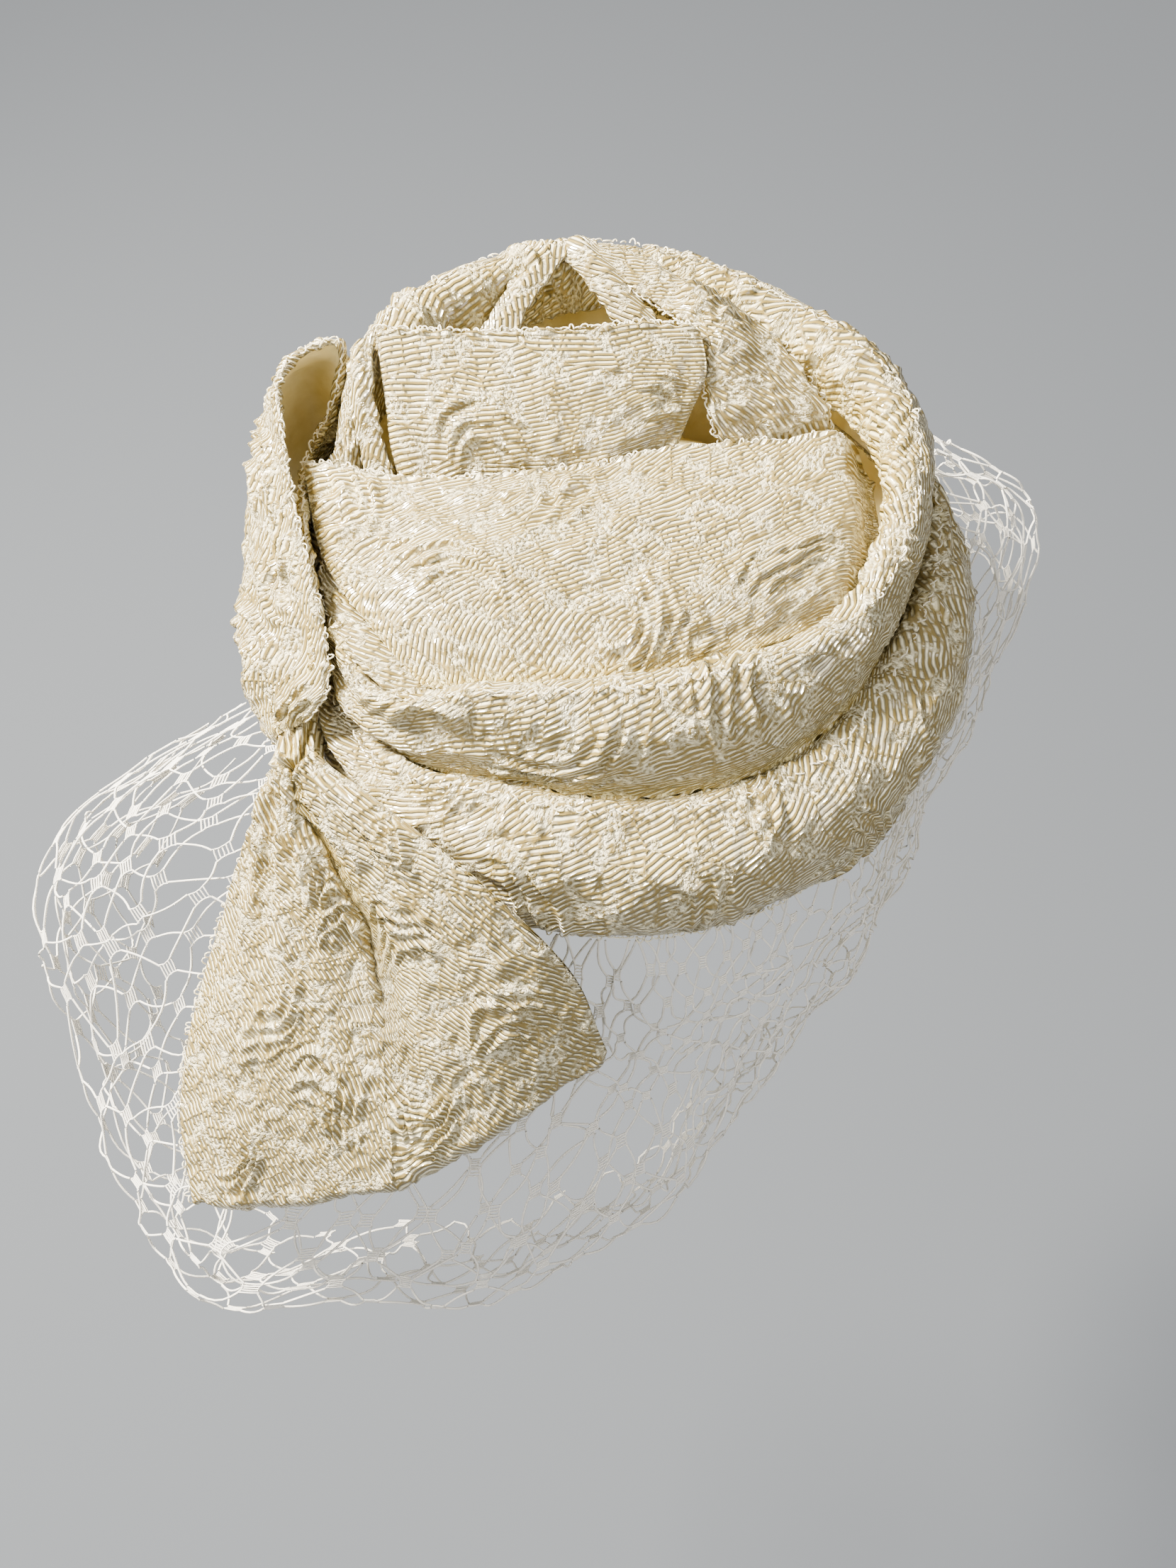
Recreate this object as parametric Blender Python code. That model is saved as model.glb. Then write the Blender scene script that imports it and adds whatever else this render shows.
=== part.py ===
"""Draped pillbox hat in ivory cloque silk, with a side bow and a short face veil.

The hat sits on a head with its rim level at z = 0. +Z is up, the wearer faces -Y, and the bow is
at the wearer's right, on the -X side. The origin is the centre of the head opening.

Every piece of cloth is a sheet drawn through a few sections. A table row is one section, its
columns name the points that the sheet passes through, and smooth curves join the points and the
rows. The sheet then gets its wall, with round edges.
"""
import math

import bmesh
import bpy
import numpy as np

# Driving sizes. Tables and sizes are in millimetres, and MM turns them into metres.
MM = 0.001
CLOTH = 2.0
ROLLED_EDGE = 1.7
GAP = 0.4

# The cap under the folds: half an ellipsoid over the head opening.
CAP_RADIUS = 81.0
CAP_HEIGHT = 49.0
CAP_WALL = 2.0
CAP_SIDES = 26
CAP_RINGS = 6

# Points along and across each sheet. An edge is rolled thicker over the outer fifth of the sheet.
RING_STATIONS = 46
LOWER_PROFILE = 7
UPPER_PROFILE = 9
CROWN_PANEL_GRID = (19, 8)
CENTRE_FOLD_GRID = (12, 8)
STRAP_GRID = (9, 4)
LEFT_FOLD_GRID = (8, 4)
RIGHT_FLAP_GRID = (15, 6)
BACK_LOOP_GRID = (32, 6)
FRONT_LOOP_GRID = (16, 7)
FRONT_LOOP_TURN = (45, 90, 135)
WAIST_GRID = (14, 9)
ROLL_SHARE = 0.2

# The lower swathe lies on the rim. Each row is a section at an azimuth, seen from above and
# counted from +X to +Y, and r is the distance from the middle of the opening.
LOWER_FOOT_R = 84.0
LOWER_FOOT_Z = 2.0
LOWER_COLUMNS = "azimuth belly_r belly_z shoulder_r shoulder_z ridge_r ridge_z tuck_r tuck_z"
LOWER_SWATHE = (
    (-180, 87.5, 15, 86.5, 29, 82.5, 36.0, 78.0, 31.0),
    (-160, 87.5, 14, 86.0, 27, 82.0, 33.5, 77.5, 29.0),
    (-146, 88.0, 14, 86.5, 26, 81.5, 33.0, 76.5, 28.5),
    (-133, 88.5, 14, 86.0, 27, 78.5, 34.0, 73.5, 29.0),
    (-120, 88.5, 14, 83.5, 29, 71.5, 36.0, 67.0, 31.0),
    (-98, 88.5, 14, 81.5, 30, 69.0, 37.0, 65.2, 31.5),
    (-75, 89.0, 14, 82.0, 30, 69.0, 37.0, 65.2, 31.5),
    (-55, 89.5, 15, 84.0, 30, 71.5, 37.5, 67.0, 32.0),
    (-37, 90.5, 17, 86.0, 32, 73.0, 39.0, 68.5, 33.5),
    (-18, 92.5, 22, 89.0, 36, 75.5, 42.5, 71.0, 37.0),
    (0, 93.5, 25, 91.5, 39, 81.5, 45.5, 76.8, 40.0),
    (15, 94.0, 27, 92.5, 42, 86.5, 48.5, 81.8, 43.0),
    (35, 93.0, 27, 92.0, 42, 87.5, 48.5, 82.8, 43.0),
    (65, 92.0, 26, 91.0, 41, 87.0, 48.0, 82.5, 43.0),
    (95, 92.0, 26, 91.0, 41, 87.0, 48.0, 82.5, 43.0),
    (125, 91.0, 26, 90.0, 40, 86.5, 47.0, 82.0, 42.0),
    (150, 89.0, 20, 88.0, 34, 84.0, 42.0, 79.5, 37.0),
)

# The upper swathe starts inside the lip of the lower one and climbs to the thick roll round the
# right and the back. Its foot is worked out from the lower swathe's tuck.
UPPER_FOOT_IN = 2.8
UPPER_FOOT_UP = 1.0
UPPER_COLUMNS = (
    "azimuth belly_r belly_z shoulder_r shoulder_z ridge_r ridge_z lip_r lip_z hem_r hem_z"
)
UPPER_SWATHE = (
    (-180, 79.5, 39, 79.5, 43.5, 77.0, 47.0, 73.5, 46.0, 72.0, 41.0),
    (-160, 79.0, 38, 79.0, 42.0, 76.0, 46.0, 71.0, 45.3, 70.0, 40.5),
    (-146, 78.0, 38, 78.0, 43.5, 74.5, 48.0, 69.5, 47.5, 68.5, 42.5),
    (-137, 73.5, 39, 71.5, 47.0, 67.0, 52.0, 63.0, 50.5, 62.5, 45.5),
    (-128, 67.5, 41, 64.5, 49.5, 59.0, 55.5, 54.5, 53.5, 54.0, 48.0),
    (-118, 63.5, 42, 59.5, 51.0, 53.5, 57.0, 49.0, 55.0, 48.5, 49.5),
    (-98, 60.5, 43, 55.5, 51.5, 47.0, 57.5, 42.0, 55.5, 41.5, 50.0),
    (-75, 60.5, 43, 55.0, 52.0, 46.5, 58.0, 41.5, 56.0, 41.0, 50.5),
    (-55, 62.5, 43, 57.5, 52.0, 49.0, 58.0, 44.0, 56.0, 43.5, 50.5),
    (-35, 65.5, 44, 62.5, 52.5, 56.5, 58.0, 51.5, 56.0, 51.0, 50.0),
    (-18, 70.5, 48, 69.5, 55.0, 64.5, 60.0, 60.0, 58.5, 59.5, 51.0),
    (0, 77.0, 50, 75.5, 58.0, 71.0, 62.5, 66.0, 61.0, 65.5, 52.0),
    (12, 82.5, 54, 80.5, 62.5, 76.0, 67.0, 70.5, 65.5, 70.0, 56.0),
    (25, 88.5, 56, 86.0, 65.5, 80.5, 70.5, 74.0, 68.5, 73.0, 58.0),
    (45, 89.5, 58, 87.0, 67.5, 80.5, 72.5, 73.0, 70.0, 72.0, 60.0),
    (60, 89.5, 60, 87.0, 69.5, 80.5, 74.0, 72.5, 72.0, 71.5, 62.0),
    (75, 89.5, 62, 87.5, 72.0, 82.0, 76.5, 75.5, 74.5, 74.5, 64.0),
    (90, 90.0, 64, 88.5, 74.0, 84.0, 79.0, 79.0, 77.0, 77.5, 66.0),
    (108, 90.0, 65, 88.5, 76.0, 84.5, 80.5, 79.0, 78.5, 76.5, 65.0),
    (125, 90.0, 65, 88.5, 75.5, 84.0, 80.0, 77.5, 77.5, 72.0, 65.0),
    (136, 89.5, 64, 88.5, 74.5, 84.0, 79.0, 77.5, 76.5, 72.0, 64.0),
    (146, 88.0, 60, 87.5, 69.0, 83.5, 73.5, 78.5, 72.0, 77.5, 62.0),
    (156, 84.5, 49, 84.5, 55.5, 81.5, 59.5, 77.5, 58.5, 76.5, 51.0),
    (168, 81.0, 42, 81.0, 46.5, 78.5, 50.0, 75.0, 49.0, 73.5, 44.0),
)

# The broad panel over the front of the crown, row by row from its left edge to its right edge.
CROWN_PANEL_COLUMNS = "foot_x foot_y foot_z low_x low_y low_z high_x high_y high_z edge_x edge_y edge_z"
CROWN_PANEL = (
    (-50.5, -39.5, 49.5, -62, -24, 50.5, -76, -3, 52.5, -85.5, 26.0, 59.5),
    (-42.5, -40.5, 51.0, -54, -24, 55.5, -65, -3, 57.0, -72.0, 20.5, 60.0),
    (-34.5, -39.5, 51.5, -43, -24, 58.0, -52, -3, 61.0, -58.0, 16.5, 60.5),
    (-19, -40.0, 52.0, -25, -23, 60.5, -31, -3, 64.5, -33.5, 14.5, 63.5),
    (0, -38.0, 52.0, -2, -22, 60.5, -5, -2, 65.5, -7.0, 18.0, 64.0),
    (11.5, -35.5, 52.0, 12, -21, 60.5, 12, 0, 65.0, 12.0, 24.0, 63.5),
    (29, -30.5, 52.0, 35, -18, 59.5, 39, 3, 63.0, 42.0, 29.0, 61.0),
    (43, -25.0, 51.5, 51.5, -13, 57.0, 57, 8, 58.5, 57.0, 32.5, 60.0),
    (47.5, -25.0, 47.0, 56.5, -13, 50.5, 62.5, 8, 50.5, 63.5, 30.0, 50.0),
)

# The fold in the middle, which rises from behind the panel. Rows run from left to right.
CENTRE_FOLD_COLUMNS = "foot_x foot_y low_x low_y low_z high_x high_y high_z edge_x edge_y edge_z"
CENTRE_FOLD = (
    (-51, 8, -60, 22, 60.0, -62.5, 36, 71.5, -64.7, 50.0, 79.5),
    (-38, 8, -42, 21, 61.5, -43.5, 35, 73.0, -45, 48.5, 80.0),
    (-20, 9, -22, 22, 63.0, -24.0, 35, 74.0, -26, 48.0, 80.5),
    (-6, 12, -6, 26, 65.0, -6.0, 38, 75.0, -7, 49.0, 81.0),
    (3, 16, 7, 31, 66.0, 9.0, 41, 75.0, 7, 50.5, 81.0),
    (7, 20, 14, 34, 65.0, 19.8, 42, 73.5, 18.5, 50.5, 80.0),
)

# Straps: each row is a place along the strap, with its left edge, its middle and its right edge.
STRAP_COLUMNS = "left_x left_y left_z middle_x middle_y middle_z right_x right_y right_z"
LEFT_STRAP = (
    (-64.5, 18, 50.5, -61.5, 17.5, 51.5, -58.0, 17, 50.5),
    (-68.5, 27, 61.0, -66.0, 27.0, 62.5, -63.4, 26.5, 61.5),
    (-70.0, 33, 69.0, -68.0, 33.0, 71.0, -65.6, 33, 70.0),
    (-70.5, 41, 75.0, -69.0, 41.0, 77.0, -66.6, 41, 76.0),
    (-70.6, 49, 76.9, -69.1, 49.5, 78.4, -67.3, 50, 77.9),
)
# The fold between the panel's left edge and the upper swathe, from its back end to its front end.
LEFT_FOLD = (
    (-78.5, -3.0, 49.6, -76.0, -2.0, 50.1, -72.0, -1.0, 49.0),
    (-70.0, -19.0, 48.6, -66.5, -18.0, 48.6, -62.0, -16.0, 46.0),
    (-62.5, -31.0, 49.2, -59.5, -29.0, 48.4, -54.5, -26.5, 45.8),
    (-55.5, -35.5, 48.4, -53.0, -33.5, 46.8, -49.5, -31.0, 44.0),
)
BACK_LEFT_STRAP = (
    (-23.8, 73.6, 77.5, -20.3, 74.6, 79.0, -16.8, 75.0, 78.0),
    (-28.6, 63.0, 73.0, -25.0, 63.5, 74.5, -21.0, 64.0, 74.0),
    (-33.4, 55.0, 67.0, -29.5, 55.0, 68.3, -25.4, 55.5, 67.6),
    (-35.0, 47.0, 56.0, -31.0, 47.0, 57.0, -27.2, 47.0, 56.0),
    (-34.0, 42.0, 40.5, -31.0, 42.0, 41.5, -28.0, 42.0, 42.0),
)
BACK_RIGHT_STRAP = (
    (-11.0, 74.0, 77.5, -9.0, 74.5, 79.0, -6.5, 74.5, 78.0),
    (-5.5, 65.5, 74.0, -3.5, 66.0, 75.0, -1.0, 66.0, 74.5),
    (0.0, 59.0, 69.0, 2.5, 59.5, 70.0, 5.0, 60.0, 69.5),
    (3.0, 51.0, 57.0, 5.5, 51.0, 58.0, 8.0, 51.0, 57.0),
    (3.0, 46.0, 42.5, 5.5, 46.0, 43.0, 8.0, 46.0, 42.5),
)
RIGHT_FLAP = (
    (-3.0, 71.5, 77.0, -2.5, 74.5, 79.0, -1.8, 76.8, 77.5),
    (11.0, 64.0, 77.0, 14.5, 68.0, 79.0, 17.3, 71.2, 76.5),
    (17.0, 57.0, 78.0, 21.5, 61.5, 79.5, 26.4, 66.0, 75.5),
    (22.0, 50.5, 76.0, 28.5, 55.5, 77.5, 35.4, 60.0, 73.5),
    (22.0, 45.0, 73.0, 32.0, 49.5, 73.5, 43.5, 53.0, 69.5),
    (22.5, 41.0, 69.5, 35.0, 44.5, 69.0, 49.0, 47.0, 65.0),
    (24.0, 36.0, 65.0, 38.5, 39.5, 64.0, 53.5, 42.5, 60.5),
    (27.0, 31.0, 58.0, 40.0, 34.5, 57.5, 54.0, 38.0, 54.0),
    (27.0, 25.0, 49.5, 38.0, 29.0, 47.0, 48.0, 32.0, 42.5),
)

# The bow's waist, a bundle of gathered cloth held against the lower swathe.
WAIST_CENTRE = (-84.0, -42.4, 27.3)
WAIST_RADII = (5.0, 7.6, 6.8)

# The bow's back loop, from the waist along the hat's side, round and back. Each row is a section
# of the ribbon with its low edge, its middle and its top edge.
BACK_LOOP_COLUMNS = "low_x low_y low_z belly_x belly_y belly_z top_x top_y top_z"
BACK_LOOP = (
    (-93.0, -37.5, 19, -93.0, -38.5, 29, -80.5, -40.5, 39.0),
    (-95.0, -32.0, 16, -97.0, -31.0, 30, -76.0, -36.0, 44.0),
    (-96.5, -22.0, 13, -98.5, -22.0, 33, -77.0, -23.5, 52.0),
    (-97.5, -7.0, 12, -101.0, -7.0, 37, -81.5, -8.0, 58.0),
    (-98.5, 12.0, 12, -101.5, 12.0, 42, -86.5, 12.0, 64.0),
    (-97.5, 31.0, 14, -100.0, 31.0, 47, -90.0, 31.0, 69.0),
    (-94.5, 48.0, 16, -96.5, 48.0, 51, -90.5, 42.0, 72.0),
    (-87.5, 57.0, 18, -88.5, 57.0, 54, -84.0, 49.5, 74.5),
    (-80.5, 53.5, 20, -79.5, 54.0, 56, -74.5, 50.0, 75.5),
    (-80.5, 47.0, 18, -80.5, 48.0, 50, -77.0, 43.0, 69.0),
    (-86.0, 34.0, 16, -86.5, 34.0, 36, -84.3, 34.0, 51.5),
    (-91.0, 12.0, 14, -91.0, 12.0, 29, -88.6, 12.0, 44.0),
    (-91.3, -14.0, 14, -91.3, -14.0, 26, -88.8, -14.0, 38.0),
    (-88.8, -32.0, 18, -88.8, -32.0, 26, -87.0, -31.5, 34.0),
)

# The bow's front loop, a fan of ribbon. Each row is a line of the cloth from the waist down to
# the turn at the loop's end, from the left edge to the right edge. The left lobe's lip lies over
# the right lobe along the pleat.
FRONT_LOOP_COLUMNS = (
    "start_x start_y start_z upper_x upper_y upper_z middle_x middle_y middle_z "
    "lower_x lower_y lower_z end_x end_y end_z"
)
FRONT_LOOP = (
    (-93, -48, 18, -101, -58, 2, -118, -84, -32, -126, -112, -54, -123.5, -136, -71),
    (-91, -50, 23, -96, -67, 5, -104, -94, -20, -108, -117, -41, -105.0, -138, -61),
    (-88, -52, 28, -86, -68, 14, -83, -92, -5, -85, -116, -28, -86.0, -139, -51),
    (-86, -53, 30, -81, -64, 21, -69, -87, 1, -66, -113, -19, -65.0, -138, -42),
    (-85, -54, 26, -79, -66, 13, -66, -89, -6, -61, -113, -22, -59.0, -136, -41),
    (-82, -54, 32, -70, -68, 25, -50, -91, 9, -42, -111, -9, -40.0, -129, -30),
    (-80, -53, 34, -66, -67, 31, -41, -88, 21, -27, -106, 1, -23.0, -121, -21),
    (-78, -52, 36, -62, -64, 35, -36, -84, 29, -14, -99, 9, -5.0, -111, -13),
)
LOOP_GAP_AT_WAIST = 2.7
LOOP_GAP_AT_END = 7.5

# The veil hangs from just under the rim. Each row is a section at an azimuth, and the shares say
# how far down the net each named point lies.
VEIL_WALL = 1.0
VEIL_STRAND = 2.2
VEIL_TOP_R = 84.0
VEIL_TOP_Z = 0.0
VEIL_SHARES = (0.0, 0.13, 0.42, 0.72, 1.0)
VEIL_CELLS_ROUND = 19
VEIL_CELLS_DOWN = 5
VEIL_COLUMNS = "azimuth neck_r neck_z out_r out_z belly_r belly_z hem_r hem_z"
VEIL = (
    (-180, 92, -9, 108, -16, 128, -28, 130, -54),
    (-171, 93, -10, 140, -26, 174, -47, 164, -84),
    (-165, 93, -12, 150, -32, 188, -60, 170, -98),
    (-160, 93, -13, 154, -36, 192, -68, 172, -106),
    (-150, 93, -18, 152, -54, 193, -92, 170, -122),
    (-136, 94, -24, 160, -72, 203, -105, 180, -134),
    (-128, 94, -28, 158, -78, 200, -105, 174, -134),
    (-120, 94, -29, 146, -74, 184, -104, 158, -132),
    (-110, 94, -29, 136, -68, 170, -100, 146, -130),
    (-98, 94, -28, 124, -60, 155, -96, 134, -124),
    (-88, 93, -27, 112, -56, 138, -92, 120, -120),
    (-77, 92, -25, 104, -54, 123, -90, 106, -116),
    (-67, 91, -23, 98, -50, 108, -86, 94, -112),
    (-56, 90, -20, 95, -46, 101, -80, 90, -106),
    (-34, 89, -17, 93, -40, 97, -70, 88, -96),
    (-10, 90, -13, 95, -30, 101, -50, 93, -78),
    (6, 92, -10, 106, -20, 117, -34, 108, -60),
    (17, 95, -7, 120, -8, 136, -18, 128, -42),
    (28, 96, -3, 126, 2, 146, 0, 138, -24),
    (38, 95, 0, 116, 8, 128, 12, 124, -8),
)

# Colours of the finishes, linear.
IVORY = (0.83, 0.79, 0.66, 1.0)
SHADED_IVORY = (0.62, 0.54, 0.36, 1.0)
NET_WHITE = (0.80, 0.79, 0.74, 1.0)


def material(name, colour, roughness):
    """A cloth finish."""
    finish = bpy.data.materials.new(name)
    finish.use_nodes = True
    shader = finish.node_tree.nodes["Principled BSDF"]
    shader.inputs["Base Color"].default_value = colour
    shader.inputs["Roughness"].default_value = roughness
    shader.inputs["Metallic"].default_value = 0.0
    return finish


def place(name, mesh, finish):
    """Put a mesh in the scene as one named piece."""
    mesh.name = name
    mesh.materials.append(finish)
    mesh.shade_smooth()
    piece = bpy.data.objects.new(name, mesh)
    bpy.context.scene.collection.objects.link(piece)
    return piece


def columns(names, rows):
    """A table's columns by name, each as an array."""
    return dict(zip(names.split(), np.array(rows, float).T))


def hermite(knots, values, at):
    """A smooth curve through values at rising knots, read at the places in at."""
    knots = np.asarray(knots, float)
    steps = np.diff(knots)
    shape = (-1,) + (1,) * (values.ndim - 1)
    rise = np.diff(values, axis=0) / steps.reshape(shape)
    weight = (steps[1:] / (steps[1:] + steps[:-1])).reshape(shape)
    inner = rise[:-1] * weight + rise[1:] * (1 - weight)
    slopes = np.concatenate([rise[:1], inner, rise[-1:]])
    span = np.clip(np.searchsorted(knots, at, side="right") - 1, 0, len(steps) - 1)
    width = steps[span]
    t = ((at - knots[span]) / width).reshape(shape)
    width = width.reshape(shape)
    start, end = values[span], values[span + 1]
    return (
        start * (2 * t**3 - 3 * t**2 + 1)
        + end * (3 * t**2 - 2 * t**3)
        + slopes[span] * width * (t**3 - 2 * t**2 + t)
        + slopes[span + 1] * width * (t**3 - t**2)
    )


def round_trip(knots, values, at):
    """A smooth closed curve: the knots are azimuths in degrees, and the ends meet."""
    turn = 360.0
    knots = np.concatenate([knots - turn, knots, knots + turn])
    return hermite(knots, np.concatenate([values] * 3), at)


def section_points(table, names):
    """The named points of each row as an array: row, point, coordinate."""
    stacked = []
    for name in names.split():
        axes = [table[key] for key in table if key.rsplit("_", 1)[0] == name]
        stacked.append(np.stack(axes, axis=1))
    return np.stack(stacked, axis=1)


def along(points, count):
    """Resample the points across each section to count places on a smooth curve."""
    knots = np.arange(points.shape[1])
    at = np.linspace(0, points.shape[1] - 1, count)
    return np.swapaxes(hermite(knots, np.swapaxes(points, 0, 1), at), 0, 1)


def polar(azimuths, profile):
    """Turn (r, z) profiles at azimuths in degrees into points."""
    angle = np.radians(azimuths)[:, None]
    r, z = profile[..., 0], profile[..., 1]
    return np.stack([r * np.cos(angle), r * np.sin(angle), z], axis=-1)


def sheet(points, size):
    """A grid of size (stations, places) on the sheet that passes through a table's points."""
    stations, places = size
    rows = np.arange(len(points))
    spread = hermite(rows, points, np.linspace(0, len(points) - 1, stations))
    return along(spread, places)


def grid_normals(grid, ring):
    """The unit normal at each point of a grid, and the unit direction across each section."""
    if ring:
        down = np.roll(grid, -1, axis=0) - np.roll(grid, 1, axis=0)
    else:
        down = np.gradient(grid, axis=0)
    across = np.gradient(grid, axis=1)
    normal = np.cross(down, across)
    normal /= np.linalg.norm(normal, axis=2, keepdims=True)
    return normal, across / np.linalg.norm(across, axis=2, keepdims=True)


def solid_sheet(grid, ring=False, first=CLOTH / 2, last=CLOTH / 2):
    """A closed wall round a grid: each section becomes a flat loop with a round edge.

    first and last are the half thickness at the two edges, where the cloth is rolled thicker.
    """
    normal, across = grid_normals(grid, ring)
    place_across = np.linspace(0, 1, grid.shape[1])
    half = np.full(grid.shape[1], CLOTH / 2)
    half = np.maximum(half, first * np.clip(1 - place_across / ROLL_SHARE, 0, 1))
    half = np.maximum(half, last * np.clip(1 - (1 - place_across) / ROLL_SHARE, 0, 1))
    half = half[None, :, None]
    upper = grid + normal * half
    under = grid - normal * half
    tip_end = grid[:, -1:] + across[:, -1:] * last
    tip_start = grid[:, :1] - across[:, :1] * first
    loops = np.concatenate([upper, tip_end, under[:, ::-1], tip_start], axis=1)
    return loop_mesh(loops, ring)


def loop_mesh(loops, ring):
    """Join section loops into a closed mesh, with end caps unless the loops form a ring."""
    count, size = loops.shape[:2]
    index = np.arange(count * size).reshape(count, size)
    if ring:
        index = np.vstack([index, index[:1]])
    a, b = index[:-1], index[1:]
    faces = np.stack([a, np.roll(a, -1, 1), np.roll(b, -1, 1), b], axis=-1).reshape(-1, 4).tolist()
    if not ring:
        half = size // 2
        for cap in (index[0], index[-1]):
            for i in range(half - 2):
                faces.append([cap[i], cap[i + 1], cap[size - 3 - i], cap[size - 2 - i]])
            faces.append([cap[half - 2], cap[half - 1], cap[half]])
            faces.append([cap[size - 2], cap[size - 1], cap[0]])
    mesh = bpy.data.meshes.new("sheet")
    mesh.from_pydata((loops.reshape(-1, 3) * MM).tolist(), [], faces)
    shell = bmesh.new()
    shell.from_mesh(mesh)
    bmesh.ops.recalc_face_normals(shell, faces=shell.faces)
    shell.to_mesh(mesh)
    shell.free()
    return mesh


def cap_height(x, y):
    """The height of the cap's outside over a point in plan."""
    return CAP_HEIGHT * np.sqrt(np.clip(1 - (x**2 + y**2) / CAP_RADIUS**2, 0, 1))


def make_cap(finish):
    """The cap: an arc of an ellipse and a smaller one inside it, spun round the middle."""
    angles = np.linspace(math.pi / 2, 0, CAP_RINGS)
    inner_radius, inner_height = CAP_RADIUS - CAP_WALL, CAP_HEIGHT - CAP_WALL
    outer = [(CAP_RADIUS * math.cos(a), CAP_HEIGHT * math.sin(a)) for a in angles]
    inner = [(inner_radius * math.cos(a), inner_height * math.sin(a)) for a in angles[::-1]]
    shell = bmesh.new()
    path = [shell.verts.new((r * MM, 0.0, z * MM)) for r, z in outer + inner]
    edges = [shell.edges.new(pair) for pair in zip(path[:-1], path[1:])]
    bmesh.ops.spin(
        shell, geom=path + edges, axis=(0, 0, 1), cent=(0, 0, 0), steps=CAP_SIDES, angle=2 * math.pi
    )
    bmesh.ops.remove_doubles(shell, verts=shell.verts, dist=0.00002)
    bmesh.ops.recalc_face_normals(shell, faces=shell.faces)
    mesh = bpy.data.meshes.new("cap")
    shell.to_mesh(mesh)
    shell.free()
    return place("cap", mesh, finish)


def lower_profile(azimuths):
    """The lower swathe's section points (r, z) at azimuths."""
    table = columns(LOWER_COLUMNS, LOWER_SWATHE)
    points = section_points(table, "belly shoulder ridge tuck")
    foot = np.broadcast_to([LOWER_FOOT_R, LOWER_FOOT_Z], (len(points), 1, 2))
    return round_trip(table["azimuth"], np.concatenate([foot, points], axis=1), azimuths)


def upper_profile(azimuths):
    """The upper swathe's section points (r, z) at azimuths."""
    table = columns(UPPER_COLUMNS, UPPER_SWATHE)
    points = section_points(table, "belly shoulder ridge lip hem")
    foot = lower_profile(table["azimuth"])[:, -1:] + [-UPPER_FOOT_IN, UPPER_FOOT_UP]
    return round_trip(table["azimuth"], np.concatenate([foot, points], axis=1), azimuths)


def make_swathe(name, profile, places, finish):
    """A swathe that goes all the way round the hat."""
    azimuths = np.linspace(-180, 180, RING_STATIONS, endpoint=False)
    grid = polar(azimuths, along(profile(azimuths), places))
    return place(name, solid_sheet(grid, ring=True), finish)


def make_crown_panel(finish):
    table = columns(CROWN_PANEL_COLUMNS, CROWN_PANEL)
    grid = sheet(section_points(table, "foot low high edge"), CROWN_PANEL_GRID)
    return place("crown_panel", solid_sheet(grid, last=ROLLED_EDGE), finish)


def make_centre_fold(finish):
    table = columns(CENTRE_FOLD_COLUMNS, CENTRE_FOLD)
    table["foot_z"] = cap_height(table["foot_x"], table["foot_y"]) + CLOTH / 2 + GAP
    grid = sheet(section_points(table, "foot low high edge"), CENTRE_FOLD_GRID)
    return place("centre_fold", solid_sheet(grid, last=ROLLED_EDGE), finish)


def make_strap(name, rows, size, finish):
    points = section_points(columns(STRAP_COLUMNS, rows), "left middle right")
    grid = sheet(points, size)
    return place(name, solid_sheet(grid), finish)


def make_bow_waist(finish):
    shell = bmesh.new()
    round_count, rings = WAIST_GRID
    bmesh.ops.create_uvsphere(shell, u_segments=round_count, v_segments=rings, radius=1.0)
    bmesh.ops.scale(shell, verts=shell.verts, vec=[size * MM for size in WAIST_RADII])
    bmesh.ops.translate(shell, verts=shell.verts, vec=[size * MM for size in WAIST_CENTRE])
    mesh = bpy.data.meshes.new("waist")
    shell.to_mesh(mesh)
    shell.free()
    return place("bow_waist", mesh, finish)


def make_back_loop(finish):
    table = columns(BACK_LOOP_COLUMNS, BACK_LOOP)
    grid = sheet(section_points(table, "low belly top"), BACK_LOOP_GRID)
    return place("bow_back_loop", solid_sheet(grid, last=ROLLED_EDGE), finish)


def make_front_loop(finish):
    """The fan's upper layer from its table, a half-round turn, and the under layer below it."""
    table = columns(FRONT_LOOP_COLUMNS, FRONT_LOOP)
    top = sheet(section_points(table, "start upper middle lower end"), FRONT_LOOP_GRID)
    normal, across = grid_normals(top, False)
    normal *= np.sign(normal[..., 2:].mean())
    share = np.linspace(0, 1, top.shape[1])[None, :, None]
    gap = LOOP_GAP_AT_WAIST + (LOOP_GAP_AT_END - LOOP_GAP_AT_WAIST) * share**3
    under = (top - normal * gap)[:, ::-1]
    radius = LOOP_GAP_AT_END / 2
    turn = []
    for angle in np.radians(FRONT_LOOP_TURN):
        reach = across[:, -1] * math.sin(angle) - normal[:, -1] * (1 - math.cos(angle))
        turn.append(top[:, -1] + reach * radius)
    grid = np.concatenate([top, np.stack(turn, axis=1), under], axis=1)
    return place("bow_front_loop", solid_sheet(grid), finish)


def veil_points(azimuths, down):
    """Points of the veil at azimuths in degrees, each at its share of the way down."""
    table = columns(VEIL_COLUMNS, VEIL)
    points = section_points(table, "neck out belly hem")
    top = np.broadcast_to([VEIL_TOP_R, VEIL_TOP_Z], (len(points), 1, 2))
    profile = hermite(table["azimuth"], np.concatenate([top, points], axis=1), azimuths)
    spots = []
    for azimuth, section, share in zip(azimuths, profile, down):
        r, z = hermite(VEIL_SHARES, section, np.array([share]))[0]
        spots.append((r * math.cos(math.radians(azimuth)), r * math.sin(math.radians(azimuth)), z))
    return np.array(spots)


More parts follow.
